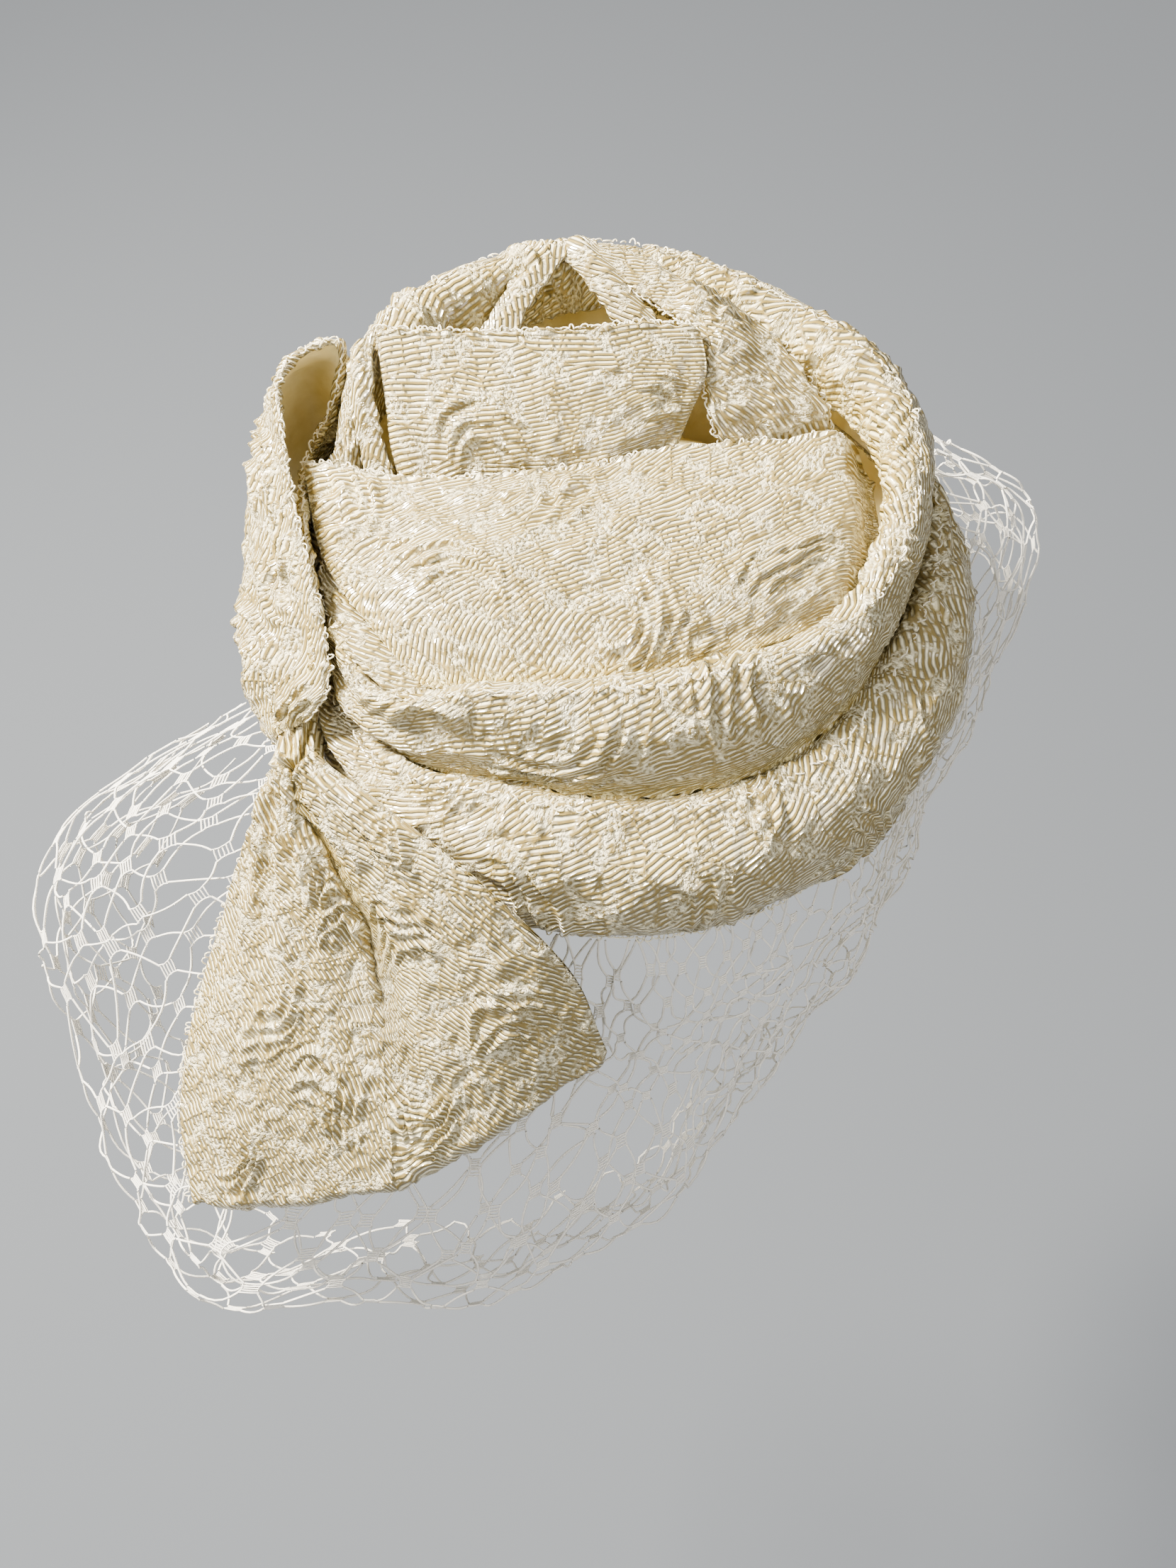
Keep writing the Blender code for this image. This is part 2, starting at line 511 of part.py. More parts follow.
def make_veil(finish):
    """A net of six-sided cells: each cell is cut through, and the strands keep their width."""
    first, last = VEIL[0][0], VEIL[-1][0]
    cell_width = (last - first) / (VEIL_CELLS_ROUND + 0.5)
    cell_height = 1.0 / (0.75 * VEIL_CELLS_DOWN + 0.25)
    corners = ((0, -0.5), (0.5, -0.25), (0.5, 0.25), (0, 0.5), (-0.5, 0.25), (-0.5, -0.25))
    spots = []
    for row in range(VEIL_CELLS_DOWN):
        for cell in range(VEIL_CELLS_ROUND):
            middle = cell + 0.5 + 0.5 * (row % 2)
            depth = 0.5 + 0.75 * row
            for across, down in corners:
                spots.append((first + (middle + across) * cell_width, (depth + down) * cell_height))
    spots = np.array(spots)
    places = veil_points(spots[:, 0], np.clip(spots[:, 1], 0, 1)) * MM
    net = bmesh.new()
    verts = [net.verts.new(spot) for spot in places]
    cells = [net.faces.new(verts[i : i + 6]) for i in range(0, len(verts), 6)]
    bmesh.ops.remove_doubles(net, verts=net.verts, dist=0.0001)
    cells = bmesh.ops.inset_individual(net, faces=net.faces[:], thickness=VEIL_STRAND / 2 * MM)
    holes = [face for face in net.faces if face not in set(cells["faces"])]
    bmesh.ops.delete(net, geom=holes, context="FACES_ONLY")
    mesh = bpy.data.meshes.new("veil")
    net.to_mesh(mesh)
    net.free()
    veil = place("veil", mesh, finish)
    wall = veil.modifiers.new("wall", "SOLIDIFY")
    wall.thickness = VEIL_WALL * MM
    wall.offset = 0.0
    return veil


def main():
    for thing in list(bpy.data.objects):
        bpy.data.objects.remove(thing)
    cloth = material("ivory_cloque_silk", IVORY, 0.45)
    inside = material("smooth_silk_inside", SHADED_IVORY, 0.6)
    net = material("veil_net", NET_WHITE, 0.5)
    make_cap(inside)
    make_swathe("lower_swathe", lower_profile, LOWER_PROFILE, cloth)
    make_swathe("upper_swathe", upper_profile, UPPER_PROFILE, cloth)
    make_crown_panel(cloth)
    make_centre_fold(cloth)
    make_strap("left_strap", LEFT_STRAP, STRAP_GRID, cloth)
    make_strap("left_fold", LEFT_FOLD, LEFT_FOLD_GRID, cloth)
    make_strap("back_left_strap", BACK_LEFT_STRAP, STRAP_GRID, cloth)
    make_strap("back_right_strap", BACK_RIGHT_STRAP, STRAP_GRID, cloth)
    make_strap("right_flap", RIGHT_FLAP, RIGHT_FLAP_GRID, cloth)
    make_bow_waist(cloth)
    make_back_loop(cloth)
    make_front_loop(cloth)
    make_veil(net)


main()
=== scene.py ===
"""Draped pillbox hat in ivory cloque silk, with a side bow and a short face veil.

The tables and the curves through them are the CAD part's, drawn here at a fine step. Some rows
differ: the tucked edges of the lower swathe, the low part of the upper one, the ends of the panel,
the middle fold and the left fold, the upper ends of the two back straps and the flap, the back
loop's return layer and one row of the fan. Each cloth then gets its own relief: soft drag folds,
blisters in arcs, rolled edges with small thread loops. The ribs of the weave are finer than the
mesh, so the material makes them from the cloth's own coordinates in millimetres.
"""

import math

import bpy
import numpy as np
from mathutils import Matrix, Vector


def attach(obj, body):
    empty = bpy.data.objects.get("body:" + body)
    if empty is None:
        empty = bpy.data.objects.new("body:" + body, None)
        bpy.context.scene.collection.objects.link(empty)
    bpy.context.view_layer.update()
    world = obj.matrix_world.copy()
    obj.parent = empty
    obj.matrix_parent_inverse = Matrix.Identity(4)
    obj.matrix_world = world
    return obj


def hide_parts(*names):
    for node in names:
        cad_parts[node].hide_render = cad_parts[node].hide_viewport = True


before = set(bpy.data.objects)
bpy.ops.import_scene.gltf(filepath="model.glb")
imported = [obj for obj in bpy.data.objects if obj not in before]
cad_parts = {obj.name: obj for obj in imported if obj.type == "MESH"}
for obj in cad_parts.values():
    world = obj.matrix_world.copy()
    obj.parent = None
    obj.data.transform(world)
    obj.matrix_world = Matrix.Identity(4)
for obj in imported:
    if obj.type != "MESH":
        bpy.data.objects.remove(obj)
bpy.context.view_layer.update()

# Tables and sizes are in millimetres, and MM turns them into metres. CLOTH is the cloth's
# thickness, GAP the room under the middle fold's foot, STEP the distance between vertices, and
# every fourth of them, UNDER_STEP, is kept on the under side.
MM = 0.001
CLOTH = 2.0
GAP = 0.4
STEP = 0.72
UNDER_STEP = 4
# A curve through a table is first read at so many places per row or point to measure it.
DENSE = 12
# Rolled edges: their radius, and the angles in degrees of the points round them.
ROLL = 1.5
EDGE_TURNS = (18, 54, 90, 126, 162)
# The swathes start and end at this azimuth, behind the bow, and are measured at 72 stations.
SEAM_AZIMUTH = 174.0
STATIONS = 72
# The fan's cloth spreads from the waist, so its mean width is scaled up to the width at its end.
FAN_WIDTH_SCALE = 1.7

# The weave: its shells' lattice, and the distances between welts, ribs and dashes.
SHELL_WIDE = 44.0
SHELL_TALL = 38.0
WELT_STEP = 4.4
RIB_STEP = 1.3
DASH_STEP = 3.3

# The threads of the net and of the small loops at the edges: their radii and number of sides.
STRAND_RADIUS = 0.37
KNOT_RADIUS = 0.27
LOOP_RADIUS = 0.22
THREAD_SIDES = 4

# The cap under the folds: half an ellipsoid over the head opening.
CAP_RADIUS = 81.0
CAP_HEIGHT = 49.0
CAP_WALL = 2.0

# The lower swathe lies on the rim. Each row is a section at an azimuth, seen from above and
# counted from +X to +Y, and r is the distance from the middle of the opening.
LOWER_FOOT_R = 84.0
LOWER_FOOT_Z = 2.0
LOWER_COLUMNS = "azimuth belly_r belly_z shoulder_r shoulder_z ridge_r ridge_z tuck_r tuck_z"
LOWER_SWATHE = (
    (-180, 87.5, 15, 86.5, 29, 82.5, 36, 78, 31),
    (-160, 87.5, 14, 86, 27, 82, 33.5, 77.5, 29),
    (-146, 88, 14, 86.5, 26, 81.5, 33, 76.5, 28.5),
    (-133, 88.5, 14, 86, 27, 78.5, 34, 74, 32.5),
    (-120, 88.5, 14, 83.5, 29, 71.5, 36, 67.4, 35.2),
    (-98, 88.5, 14, 81.5, 30, 69, 37, 65.6, 36.4),
    (-75, 89, 14, 82, 30, 69, 37, 65.6, 36.4),
    (-55, 89.5, 15, 84, 30, 71.5, 37.5, 67.4, 36.8),
    (-37, 90.5, 17, 86, 32, 73, 39, 69, 37.8),
    (-18, 92.5, 22, 89, 36, 75.5, 42.5, 71.2, 40.5),
    (0, 93.5, 25, 91.5, 39, 81.5, 45.5, 76.8, 40),
    (15, 94, 27, 92.5, 42, 86.5, 48.5, 81.8, 43),
    (35, 93, 27, 92, 42, 87.5, 48.5, 82.8, 43),
    (65, 92, 26, 91, 41, 87, 48, 82.5, 43),
    (95, 92, 26, 91, 41, 87, 48, 82.5, 43),
    (125, 91, 26, 90, 40, 86.5, 47, 82, 42),
    (150, 89, 20, 88, 34, 84, 42, 79.5, 37),
)

# The upper swathe starts inside the lip of the lower one and climbs to the thick roll round the
# right and the back. Its foot is worked out from the lower swathe's tuck.
UPPER_FOOT_IN = 1.9
UPPER_FOOT_UP = 1.0
UPPER_COLUMNS = (
    "azimuth belly_r belly_z shoulder_r shoulder_z ridge_r ridge_z lip_r lip_z hem_r hem_z"
)
UPPER_SWATHE = (
    (-180, 79.5, 39, 79.5, 44.5, 77.5, 49, 73.8, 48, 72.5, 42),
    (-160, 79, 38, 79, 43.5, 76.5, 48, 72, 47, 70.5, 41.5),
    (-146, 78, 38, 78, 43.5, 74.5, 48, 69.5, 47.5, 68.5, 42.5),
    (-137, 73.5, 39, 71.5, 47, 67, 52, 63, 50.5, 62.5, 45.5),
    (-128, 67.5, 41, 64.5, 49.5, 59, 55.5, 54.5, 53.5, 54, 48),
    (-118, 63.5, 42, 59.5, 51, 53.5, 57, 49, 55, 48.5, 49.5),
    (-98, 60.5, 43, 55.5, 51.5, 47, 57.5, 42, 55.5, 41.5, 50),
    (-75, 60.5, 43, 55, 52, 46.5, 58, 41.5, 56, 41, 50.5),
    (-55, 62.5, 43, 57.5, 52, 49, 58, 44, 56, 43.5, 50.5),
    (-35, 65.5, 44, 62.5, 52.5, 56.5, 58, 51.5, 56, 51, 50),
    (-18, 70.5, 48, 69.5, 55, 64.5, 60, 60, 58.5, 59.5, 51),
    (0, 77, 50, 75.5, 58, 71, 62.5, 66, 61, 65.5, 52),
    (12, 82.5, 54, 80.5, 62.5, 76, 67, 70.5, 65.5, 70, 56),
    (25, 88.5, 56, 86, 65.5, 80.5, 70.5, 74, 68.5, 73, 58),
    (45, 89.5, 58, 87, 67.5, 80.5, 72.5, 73, 70, 72, 60),
    (60, 89.5, 60, 87, 69.5, 80.5, 74, 72.5, 72, 71.5, 62),
    (75, 89.5, 62, 87.5, 72, 82, 76.5, 75.5, 74.5, 74.5, 64),
    (90, 90, 64, 88.5, 74, 84, 79, 79, 77, 77.5, 66),
    (108, 90, 65, 88.5, 76, 84.5, 80.5, 79, 78.5, 76.5, 65),
    (125, 90, 65, 88.5, 75.5, 84, 80, 77.5, 77.5, 72, 65),
    (136, 89.5, 64, 88.5, 74.5, 84, 79, 77.5, 76.5, 72, 64),
    (146, 88, 60, 87.5, 69, 83.5, 73.5, 78.5, 72, 77.5, 62),
    (156, 84.5, 49, 84.5, 55.5, 81.5, 59.5, 77.5, 58.5, 76.5, 51),
    (168, 81, 42, 81, 46.5, 78.5, 50, 75, 49, 73.5, 44),
)

# The broad panel over the front of the crown, row by row from its left edge to its right edge.
CROWN_PANEL_COLUMNS = "foot_x foot_y foot_z low_x low_y low_z high_x high_y high_z edge_x edge_y edge_z"
CROWN_PANEL = (
    (-50.5, -39.5, 49.5, -62.5, -25, 50.5, -77.6, -3, 53, -84.5, 23, 59),
    (-42.5, -40.5, 51, -54, -24, 55.5, -65, -3, 57, -72, 20.5, 60),
    (-34.5, -39.5, 51.5, -43, -24, 58, -52, -3, 61, -58, 16.5, 60.5),
    (-19, -40, 52, -25, -23, 60.5, -31, -3, 64.5, -33.5, 14.5, 63.5),
    (0, -38, 52, -2, -22, 60.5, -5, -2, 65.5, -7, 18, 64),
    (11.5, -35.5, 52, 12, -21, 60.5, 12, 0, 65, 12, 24, 63.5),
    (29, -30.5, 52, 35, -18, 59.5, 39, 3, 63, 42, 29, 61),
    (43, -25, 51.5, 51.5, -13, 57, 57, 8, 58.5, 57, 32.5, 60),
    (47.5, -25, 47, 56.5, -13, 50.5, 62.5, 8, 50.5, 63.5, 30, 50),
    (52, -24, 42, 59.5, -12, 43.5, 68, 8, 44, 68.5, 28, 44),
)

# The fold in the middle, which rises from behind the panel. Rows run from left to right.
CENTRE_FOLD_COLUMNS = "foot_x foot_y low_x low_y low_z high_x high_y high_z edge_x edge_y edge_z"
CENTRE_FOLD = (
    (-51, 8, -60, 22, 60, -62.5, 36, 71.5, -64.7, 50, 79.5),
    (-38, 8, -42, 21, 61.5, -43.5, 35, 73, -45, 48.5, 80),
    (-20, 9, -22, 22, 63, -24, 35, 74, -26, 48, 80.5),
    (-6, 12, -6, 26, 65, -6, 38, 75, -7, 49, 81),
    (3, 16, 7, 31, 66, 9, 41, 75, 7, 50.5, 81),
    (8, 20, 16.5, 34, 65, 21, 42, 73.5, 19.5, 50.5, 80),
)

# Straps: each row is a place along the strap, with its left edge, its middle and its right edge.
STRAP_COLUMNS = "left_x left_y left_z middle_x middle_y middle_z right_x right_y right_z"
LEFT_STRAP = (
    (-64.5, 18, 50.5, -61.5, 17.5, 51.5, -58, 17, 50.5),
    (-68.5, 27, 61, -66, 27, 62.5, -63.4, 26.5, 61.5),
    (-70, 33, 69, -68, 33, 71, -65.6, 33, 70),
    (-70.5, 41, 75, -69, 41, 77, -66.6, 41, 76),
    (-70.6, 49, 76.9, -69.1, 49.5, 78.4, -67.3, 50, 77.9),
)
# The fold between the panel's left edge and the upper swathe, from its back end to its front end.
LEFT_FOLD = (
    (-78.5, -3, 49.8, -76, -2, 50.4, -72, -1, 49),
    (-73.5, -20.5, 50, -69, -18.5, 50.2, -64, -16, 47),
    (-66, -33, 50.2, -61.5, -30, 49.6, -56, -26.5, 46.4),
    (-58, -39.5, 49, -54, -36, 48, -50.5, -31.5, 44.6),
    (-49.5, -41.5, 47.2, -47.2, -39.2, 46.2, -44.5, -35.8, 44),
)
BACK_LEFT_STRAP = (
    (-20.5, 84.5, 79.4, -16.8, 86, 80.4, -13.2, 86.5, 79.8),
    (-23.5, 78, 80, -19.4, 79.5, 82, -15.6, 80, 81.2),
    (-30, 70.5, 77.4, -25.6, 71.5, 79.6, -21.4, 72, 78.6),
    (-36.2, 62, 73, -32, 62.5, 74.9, -27.8, 63, 74),
    (-40.8, 55, 67, -36.5, 55, 68.7, -32.2, 55.5, 67.6),
    (-41, 47, 56, -37, 47, 57, -33.2, 47, 56),
    (-38.5, 42, 40.5, -35.5, 42, 41.5, -32.5, 42, 42),
)
BACK_RIGHT_STRAP = (
    (-17.5, 85, 79.8, -13, 86.5, 81, -9, 86, 80.2),
    (-15.6, 79, 80.6, -11.5, 80.5, 82.6, -7.4, 80.5, 81.6),
    (-8.8, 72, 78, -5, 72.5, 80.2, -0.6, 73, 79),
    (-3, 65, 74, 0.8, 66, 75.8, 5, 66.5, 74.8),
    (2.4, 59, 69, 6, 59.5, 70.6, 9.8, 60, 69.8),
    (5.5, 51, 57, 8, 51, 58, 10.5, 51, 57),
    (5.5, 46, 42.5, 8, 46, 43, 10.5, 46, 42.5),
)
RIGHT_FLAP = (
    (-9, 79, 80.6, -7.5, 81.5, 82, -5.5, 84, 80.4),
    (1.5, 71, 79, 3.8, 74.8, 81.2, 6, 78, 79.4),
    (11, 64, 77, 14.5, 68, 79, 17.3, 71.2, 76.5),
    (17, 57, 78, 21.5, 61.5, 79.5, 26.4, 66, 75.5),
    (22, 50.5, 76, 28.5, 55.5, 77.5, 35.4, 60, 73.5),
    (22, 45, 73, 32, 49.5, 73.5, 43.5, 53, 69.5),
    (22.5, 41, 69.5, 35, 44.5, 69, 49, 47, 65),
    (24, 36, 65, 38.5, 39.5, 64, 53.5, 42.5, 60.5),
    (27, 31, 58, 40, 34.5, 57.5, 54, 38, 54),
    (27, 25, 49.5, 38, 29, 47, 48, 32, 42.5),
)

# The bow's waist, a bundle of gathered cloth held against the lower swathe.
WAIST_CENTRE = (-84.0, -42.4, 27.3)
WAIST_RADII = (5.0, 7.6, 6.8)

# The bow's back loop, from the waist along the hat's side, round and back. Each row is a section
# of the ribbon with its low edge, its middle and its top edge.
BACK_LOOP_COLUMNS = "low_x low_y low_z belly_x belly_y belly_z top_x top_y top_z"
BACK_LOOP = (
    (-88.5, -40.5, 22.5, -90, -41.5, 29, -82, -42, 36),
    (-95, -32, 16, -97, -31, 30, -76, -36, 44),
    (-96.5, -22, 13, -98.5, -22, 33, -77, -23.5, 52),
    (-97.5, -7, 12, -101, -7, 37, -81.5, -8, 58),
    (-98.5, 12, 12, -101.5, 12, 42, -86.5, 12, 64),
    (-97.5, 31, 14, -100, 31, 47, -90, 31, 69),
    (-94.5, 48, 16, -96.5, 48, 51, -90.5, 42, 72),
    (-87.5, 57, 18, -88.5, 57, 54, -84, 49.5, 74.5),
    (-80.5, 53.5, 20, -79.5, 54, 56, -74.5, 50, 75.5),
    (-80.5, 47, 18, -80.5, 48, 44, -78.5, 45, 60),
    (-86, 34, 16, -86.5, 34, 33, -86, 34, 50),
    (-91, 12, 14, -91, 12, 30, -84.2, 12, 56),
    (-91.3, -14, 14, -91.3, -14, 31, -79.4, -14.5, 52),
    (-88.8, -32, 18, -89.5, -32, 27, -79, -33, 44.5),
)

# The bow's front loop, a fan of ribbon. Each row is a line of the cloth from the waist down to
# the turn at the loop's end, from the left edge to the right edge. The left lobe's lip lies over
# the right lobe along the pleat.
FRONT_LOOP_COLUMNS = (
    "start_x start_y start_z upper_x upper_y upper_z middle_x middle_y middle_z "
    "lower_x lower_y lower_z end_x end_y end_z"
)
FRONT_LOOP = (
    (-93, -48, 18, -101, -58, 2, -118, -84, -32, -126, -112, -54, -123.5, -136, -71),
    (-91, -50, 23, -96, -67, 5, -104, -94, -20, -108, -117, -41, -105, -138, -61),
    (-88, -52, 28, -86, -68, 14, -83, -92, -5, -85, -116, -28, -86, -139, -51),
    (-86, -53, 30, -81, -64, 21, -69, -87, 1, -66, -113, -19, -65, -138, -42),
    (-85, -54, 26, -79, -66, 13, -66, -89, -5, -60.5, -112.6, -17.2, -59, -135.8, -39.4),
    (-82, -54, 32, -70, -68, 25, -50, -91, 9, -42, -111, -9, -40, -129, -30),
    (-80, -53, 34, -66, -67, 31, -41, -88, 21, -27, -106, 1, -23, -121, -21),
    (-78, -52, 36, -62, -64, 35, -36, -84, 29, -14, -99, 9, -5, -111, -13),
)
LOOP_GAP_AT_WAIST = 2.7
LOOP_GAP_AT_END = 7.5

# The veil hangs from just under the rim. Each row is a section at an azimuth, and the shares say
# how far down the net each named point lies.
VEIL_TOP_R = 84.0
VEIL_TOP_Z = 0.0
VEIL_SHARES = (0.0, 0.13, 0.42, 0.72, 1.0)
KNOT_TURN = 0.72
KNOT_SHARE = 0.0125
VEIL_COLUMNS = "azimuth neck_r neck_z out_r out_z belly_r belly_z hem_r hem_z"
VEIL = (
    (-180, 92, -9, 108, -16, 128, -28, 130, -54),
    (-171, 93, -10, 140, -26, 174, -47, 164, -84),
    (-165, 93, -12, 150, -32, 188, -60, 170, -98),
    (-160, 93, -13, 154, -36, 192, -68, 172, -106),
    (-150, 93, -18, 152, -54, 193, -92, 170, -122),
    (-136, 94, -24, 160, -72, 203, -105, 180, -134),
    (-128, 94, -28, 158, -78, 200, -105, 174, -134),
    (-120, 94, -29, 146, -74, 184, -104, 158, -132),
    (-110, 94, -29, 136, -68, 170, -100, 146, -130),
    (-98, 94, -28, 124, -60, 155, -96, 134, -124),
    (-88, 93, -27, 112, -56, 138, -92, 120, -120),
    (-77, 92, -25, 104, -54, 123, -90, 106, -116),
    (-67, 91, -23, 98, -50, 108, -86, 94, -112),
    (-56, 90, -20, 95, -46, 101, -80, 90, -106),
    (-34, 89, -17, 93, -40, 97, -70, 88, -96),
    (-10, 90, -13, 95, -30, 101, -50, 93, -78),
    (6, 92, -10, 106, -20, 117, -34, 108, -60),
    (17, 95, -7, 120, -8, 136, -18, 128, -42),
    (28, 96, -3, 126, 2, 146, 0, 138, -24),
    (38, 95, 0, 116, 8, 128, 12, 124, -8),
)


def columns(names, rows):
    """A table's columns by name, each as an array."""
    return dict(zip(names.split(), np.array(rows, float).T))


def hermite(knots, values, at):
    """A smooth curve through values at rising knots, read at the places in at.

    p(t) = (2t^3 - 3t^2 + 1) a + (3t^2 - 2t^3) b + (t^3 - 2t^2 + t) w A + (t^3 - t^2) w B
    """
    knots = np.asarray(knots, float)
    steps = np.diff(knots)
    shape = (-1,) + (1,) * (values.ndim - 1)
    rise = np.diff(values, axis=0) / steps.reshape(shape)
    weight = (steps[1:] / (steps[1:] + steps[:-1])).reshape(shape)
    inner = rise[:-1] * weight + rise[1:] * (1 - weight)
    slopes = np.concatenate([rise[:1], inner, rise[-1:]])
    span = np.clip(np.searchsorted(knots, at, side="right") - 1, 0, len(steps) - 1)
    width = steps[span]
    t = ((at - knots[span]) / width).reshape(shape)
    width = width.reshape(shape)
    start, end = values[span], values[span + 1]
    return (
        start * (2 * t**3 - 3 * t**2 + 1)
        + end * (3 * t**2 - 2 * t**3)
        + slopes[span] * width * (t**3 - 2 * t**2 + t)
        + slopes[span + 1] * width * (t**3 - t**2)
    )


def round_trip(knots, values, at):
    """A smooth closed curve: the knots are azimuths in degrees, and the ends meet."""
    knots = np.concatenate([knots - 360.0, knots, knots + 360.0])
    return hermite(knots, np.concatenate([values] * 3), at)


def section_points(table, names):
    """The named points of each row as an array: row, point, coordinate."""
    stacked = []
    for name in names.split():
        axes = [table[key] for key in table if key.rsplit("_", 1)[0] == name]
        stacked.append(np.stack(axes, axis=1))
    return np.stack(stacked, axis=1)


def rows_of(names, rows, points):
    """A table's named points as an array: row, point, coordinate."""
    return section_points(columns(names, rows), points)


def polar(azimuths, profile):
    """Turn (r, z) profiles at azimuths in degrees into points."""
    angle = np.radians(azimuths)[:, None]
    r, z = profile[..., 0], profile[..., 1]
    return np.stack([r * np.cos(angle), r * np.sin(angle), z], axis=-1)


def across_places(points, places):
    """Read each section's smooth curve at places, counted in the section's own points."""
    knots = np.arange(points.shape[1])
    return np.swapaxes(hermite(knots, np.swapaxes(points, 0, 1), places), 0, 1)


def even(grid, axis, step):
    """Places along an axis of a grid that lie a step apart in mm, and how far along each lies."""
    lengths = np.linalg.norm(np.diff(grid, axis=axis), axis=2).mean(axis=1 - axis)
    run = np.concatenate([[0], np.cumsum(lengths)])
    far = np.linspace(0, run[-1], max(int(run[-1] / step) + 1, 4))
    return np.interp(far, run, np.arange(len(run))), far


def fine_sheet(points, step):
    """A sheet through a table's points with vertices a step apart, and its u and v in mm."""
    rows = np.linspace(0, len(points) - 1, (len(points) - 1) * DENSE + 1)
    places = np.linspace(0, points.shape[1] - 1, (points.shape[1] - 1) * DENSE + 1)
    raw = across_places(hermite(np.arange(len(points)), points, rows), places)
    at_rows, u = even(raw, 0, step)
    at_places, v = even(raw, 1, step)
    spread = hermite(np.arange(len(points)), points, at_rows / DENSE)
    return across_places(spread, at_places / DENSE), u, v


def fine_ring(profile):
    """A ring of sections round the hat, from the seam round to it again, with its u and v."""
    azimuths = SEAM_AZIMUTH + np.linspace(0, 360, STATIONS + 1)
    points = profile(azimuths)
    places = np.linspace(0, points.shape[1] - 1, (points.shape[1] - 1) * DENSE + 1)
    raw = polar(azimuths, across_places(points, places))
    at_places, v = even(raw, 1, STEP)
    at_rows, u = even(raw[:, len(places) // 3 : len(places) // 2], 0, STEP)
    azimuths = SEAM_AZIMUTH + at_rows * (360 / STATIONS)
    return polar(azimuths, across_places(profile(azimuths), at_places / DENSE)), u, v


def value_noise(x, y, seed):
    """Smooth noise from -1 to 1: lattice values hashed by sine, mixed with 6t^5 - 15t^4 + 10t^3."""
    i, j = np.floor(x), np.floor(y)
    fx, fy = x - i, y - j
    fx, fy = (t**3 * (t * (6 * t - 15) + 10) for t in (fx, fy))

    def corner(a, b):
        wave = np.sin((i + a) * 127.1 + (j + b) * 311.7 + seed * 74.7) * 43758.5453
        return 2 * (wave - np.floor(wave)) - 1

    low = corner(0, 0) * (1 - fx) + corner(1, 0) * fx
    high = corner(0, 1) * (1 - fx) + corner(1, 1) * fx
    return low * (1 - fy) + high * fy


def smooth(low, high, x):
    """0 below low, 1 above high, and 3t^2 - 2t^3 between them."""
    t = np.clip((x - low) / (high - low), 0, 1)
    return t * t * (3 - 2 * t)


def between(low, high, x):
    """0 at both ends of x, as far as low from them, and 1 from high on."""
    return np.minimum(smooth(low, high, x - x.min()), smooth(low, high, x.max() - x))


def blisters(u, v, seed):
    """The relief of the blistered weave in mm, at cloth coordinates in mm.

    The cloth is split among shells: each point belongs to its nearest shell centre, on a jittered
    lattice. At the distance d from it the height is a saw wave, (1 - s)^1.5 smooth(0, 0.3, s) with
    s = frac(d / 4.4), inside the shell's own arc of about 125 degrees. Soft puckers and nubs of
    noise are added. The second value is 1 in the groove at the foot of each welt's steep side, the
    mask where shade is painted into the colour.
    """
    x = u + 2.8 * value_noise(u / 11, v / 11, seed) + 0.8 * value_noise(u / 3.4, v / 3.4, seed + 1)
    y = v + 2.8 * value_noise(u / 11, v / 11, seed + 2) + 0.8 * value_noise(u / 3.4, v / 3.4, seed + 3)
    wide, tall = SHELL_WIDE, SHELL_TALL
    best = np.full(u.shape, 1e9)
    second = np.full(u.shape, 1e9)
    height = np.zeros(u.shape)
    groove = np.zeros(u.shape)
    for di in (-1, 0, 1):
        for dj in (-1, 0, 1):
            j = np.floor(y / tall) + dj
            i = np.floor(x / wide - 0.5 * (j % 2)) + di
            spin = value_noise(i * 3.7 + 0.5, j * 5.3 + 0.5, seed + 4)
            jump = value_noise(i * 2.9 + 0.5, j * 7.1 + 0.5, seed + 5)
            cx = (i + 0.5 + 0.5 * (j % 2) + 0.25 * spin) * wide
            cy = (j + 0.5 + 0.25 * jump) * tall
            dx, dy = x - cx, y - cy
            d = np.hypot(dx, dy)
            turned = np.arctan2(dy, dx) - 2.6 * spin - 0.6
            turned = np.abs((turned + math.pi) % (2 * math.pi) - math.pi)
            s = (d / WELT_STEP) % 1.0
            window = smooth(6.4, 8.2, d) * (1 - smooth(20, 27, d)) * (1 - smooth(0.75, 1.45, turned))
            window = window * smooth(-0.75, -0.4, jump)
            nearer = d < best
            second = np.where(nearer, best, np.minimum(second, d))
            height = np.where(nearer, (1 - s) ** 1.5 * smooth(0.0, 0.3, s) * window, height)
            foot = smooth(0.86, 1.0, s) + 1 - smooth(0.02, 0.2, s)
            groove = np.where(nearer, foot * window, groove)
            best = np.where(nearer, d, best)
    inside = smooth(0.0, 3.0, second - best)
    height = height * inside * (2.7 + 1.1 * value_noise(u / 5, v / 5, seed + 10))
    puckers = 0.46 * value_noise(u / 5.2, v / 3.4, seed + 6) + 0.36 * value_noise(u / 2.4, v / 2.4, seed + 7)
    nubs = np.clip(value_noise(u / 1.7, v / 1.7, seed + 8) - 0.35, 0, 1)
    nubs = nubs * smooth(-0.2, 0.5, value_noise(u / 8, v / 8, seed + 9))
    return height + puckers + 0.8 * nubs, groove * inside


def unit(vectors):
    """Vectors scaled to length 1. One of no length stays as it is."""
    return vectors / (np.linalg.norm(vectors, axis=-1, keepdims=True) + 1e-9)


def grid_normals(grid):
    """The unit normal at each point of a grid, and the unit direction across each section."""
    across = np.gradient(grid, axis=1)
    return unit(np.cross(np.gradient(grid, axis=0), across)), unit(across)


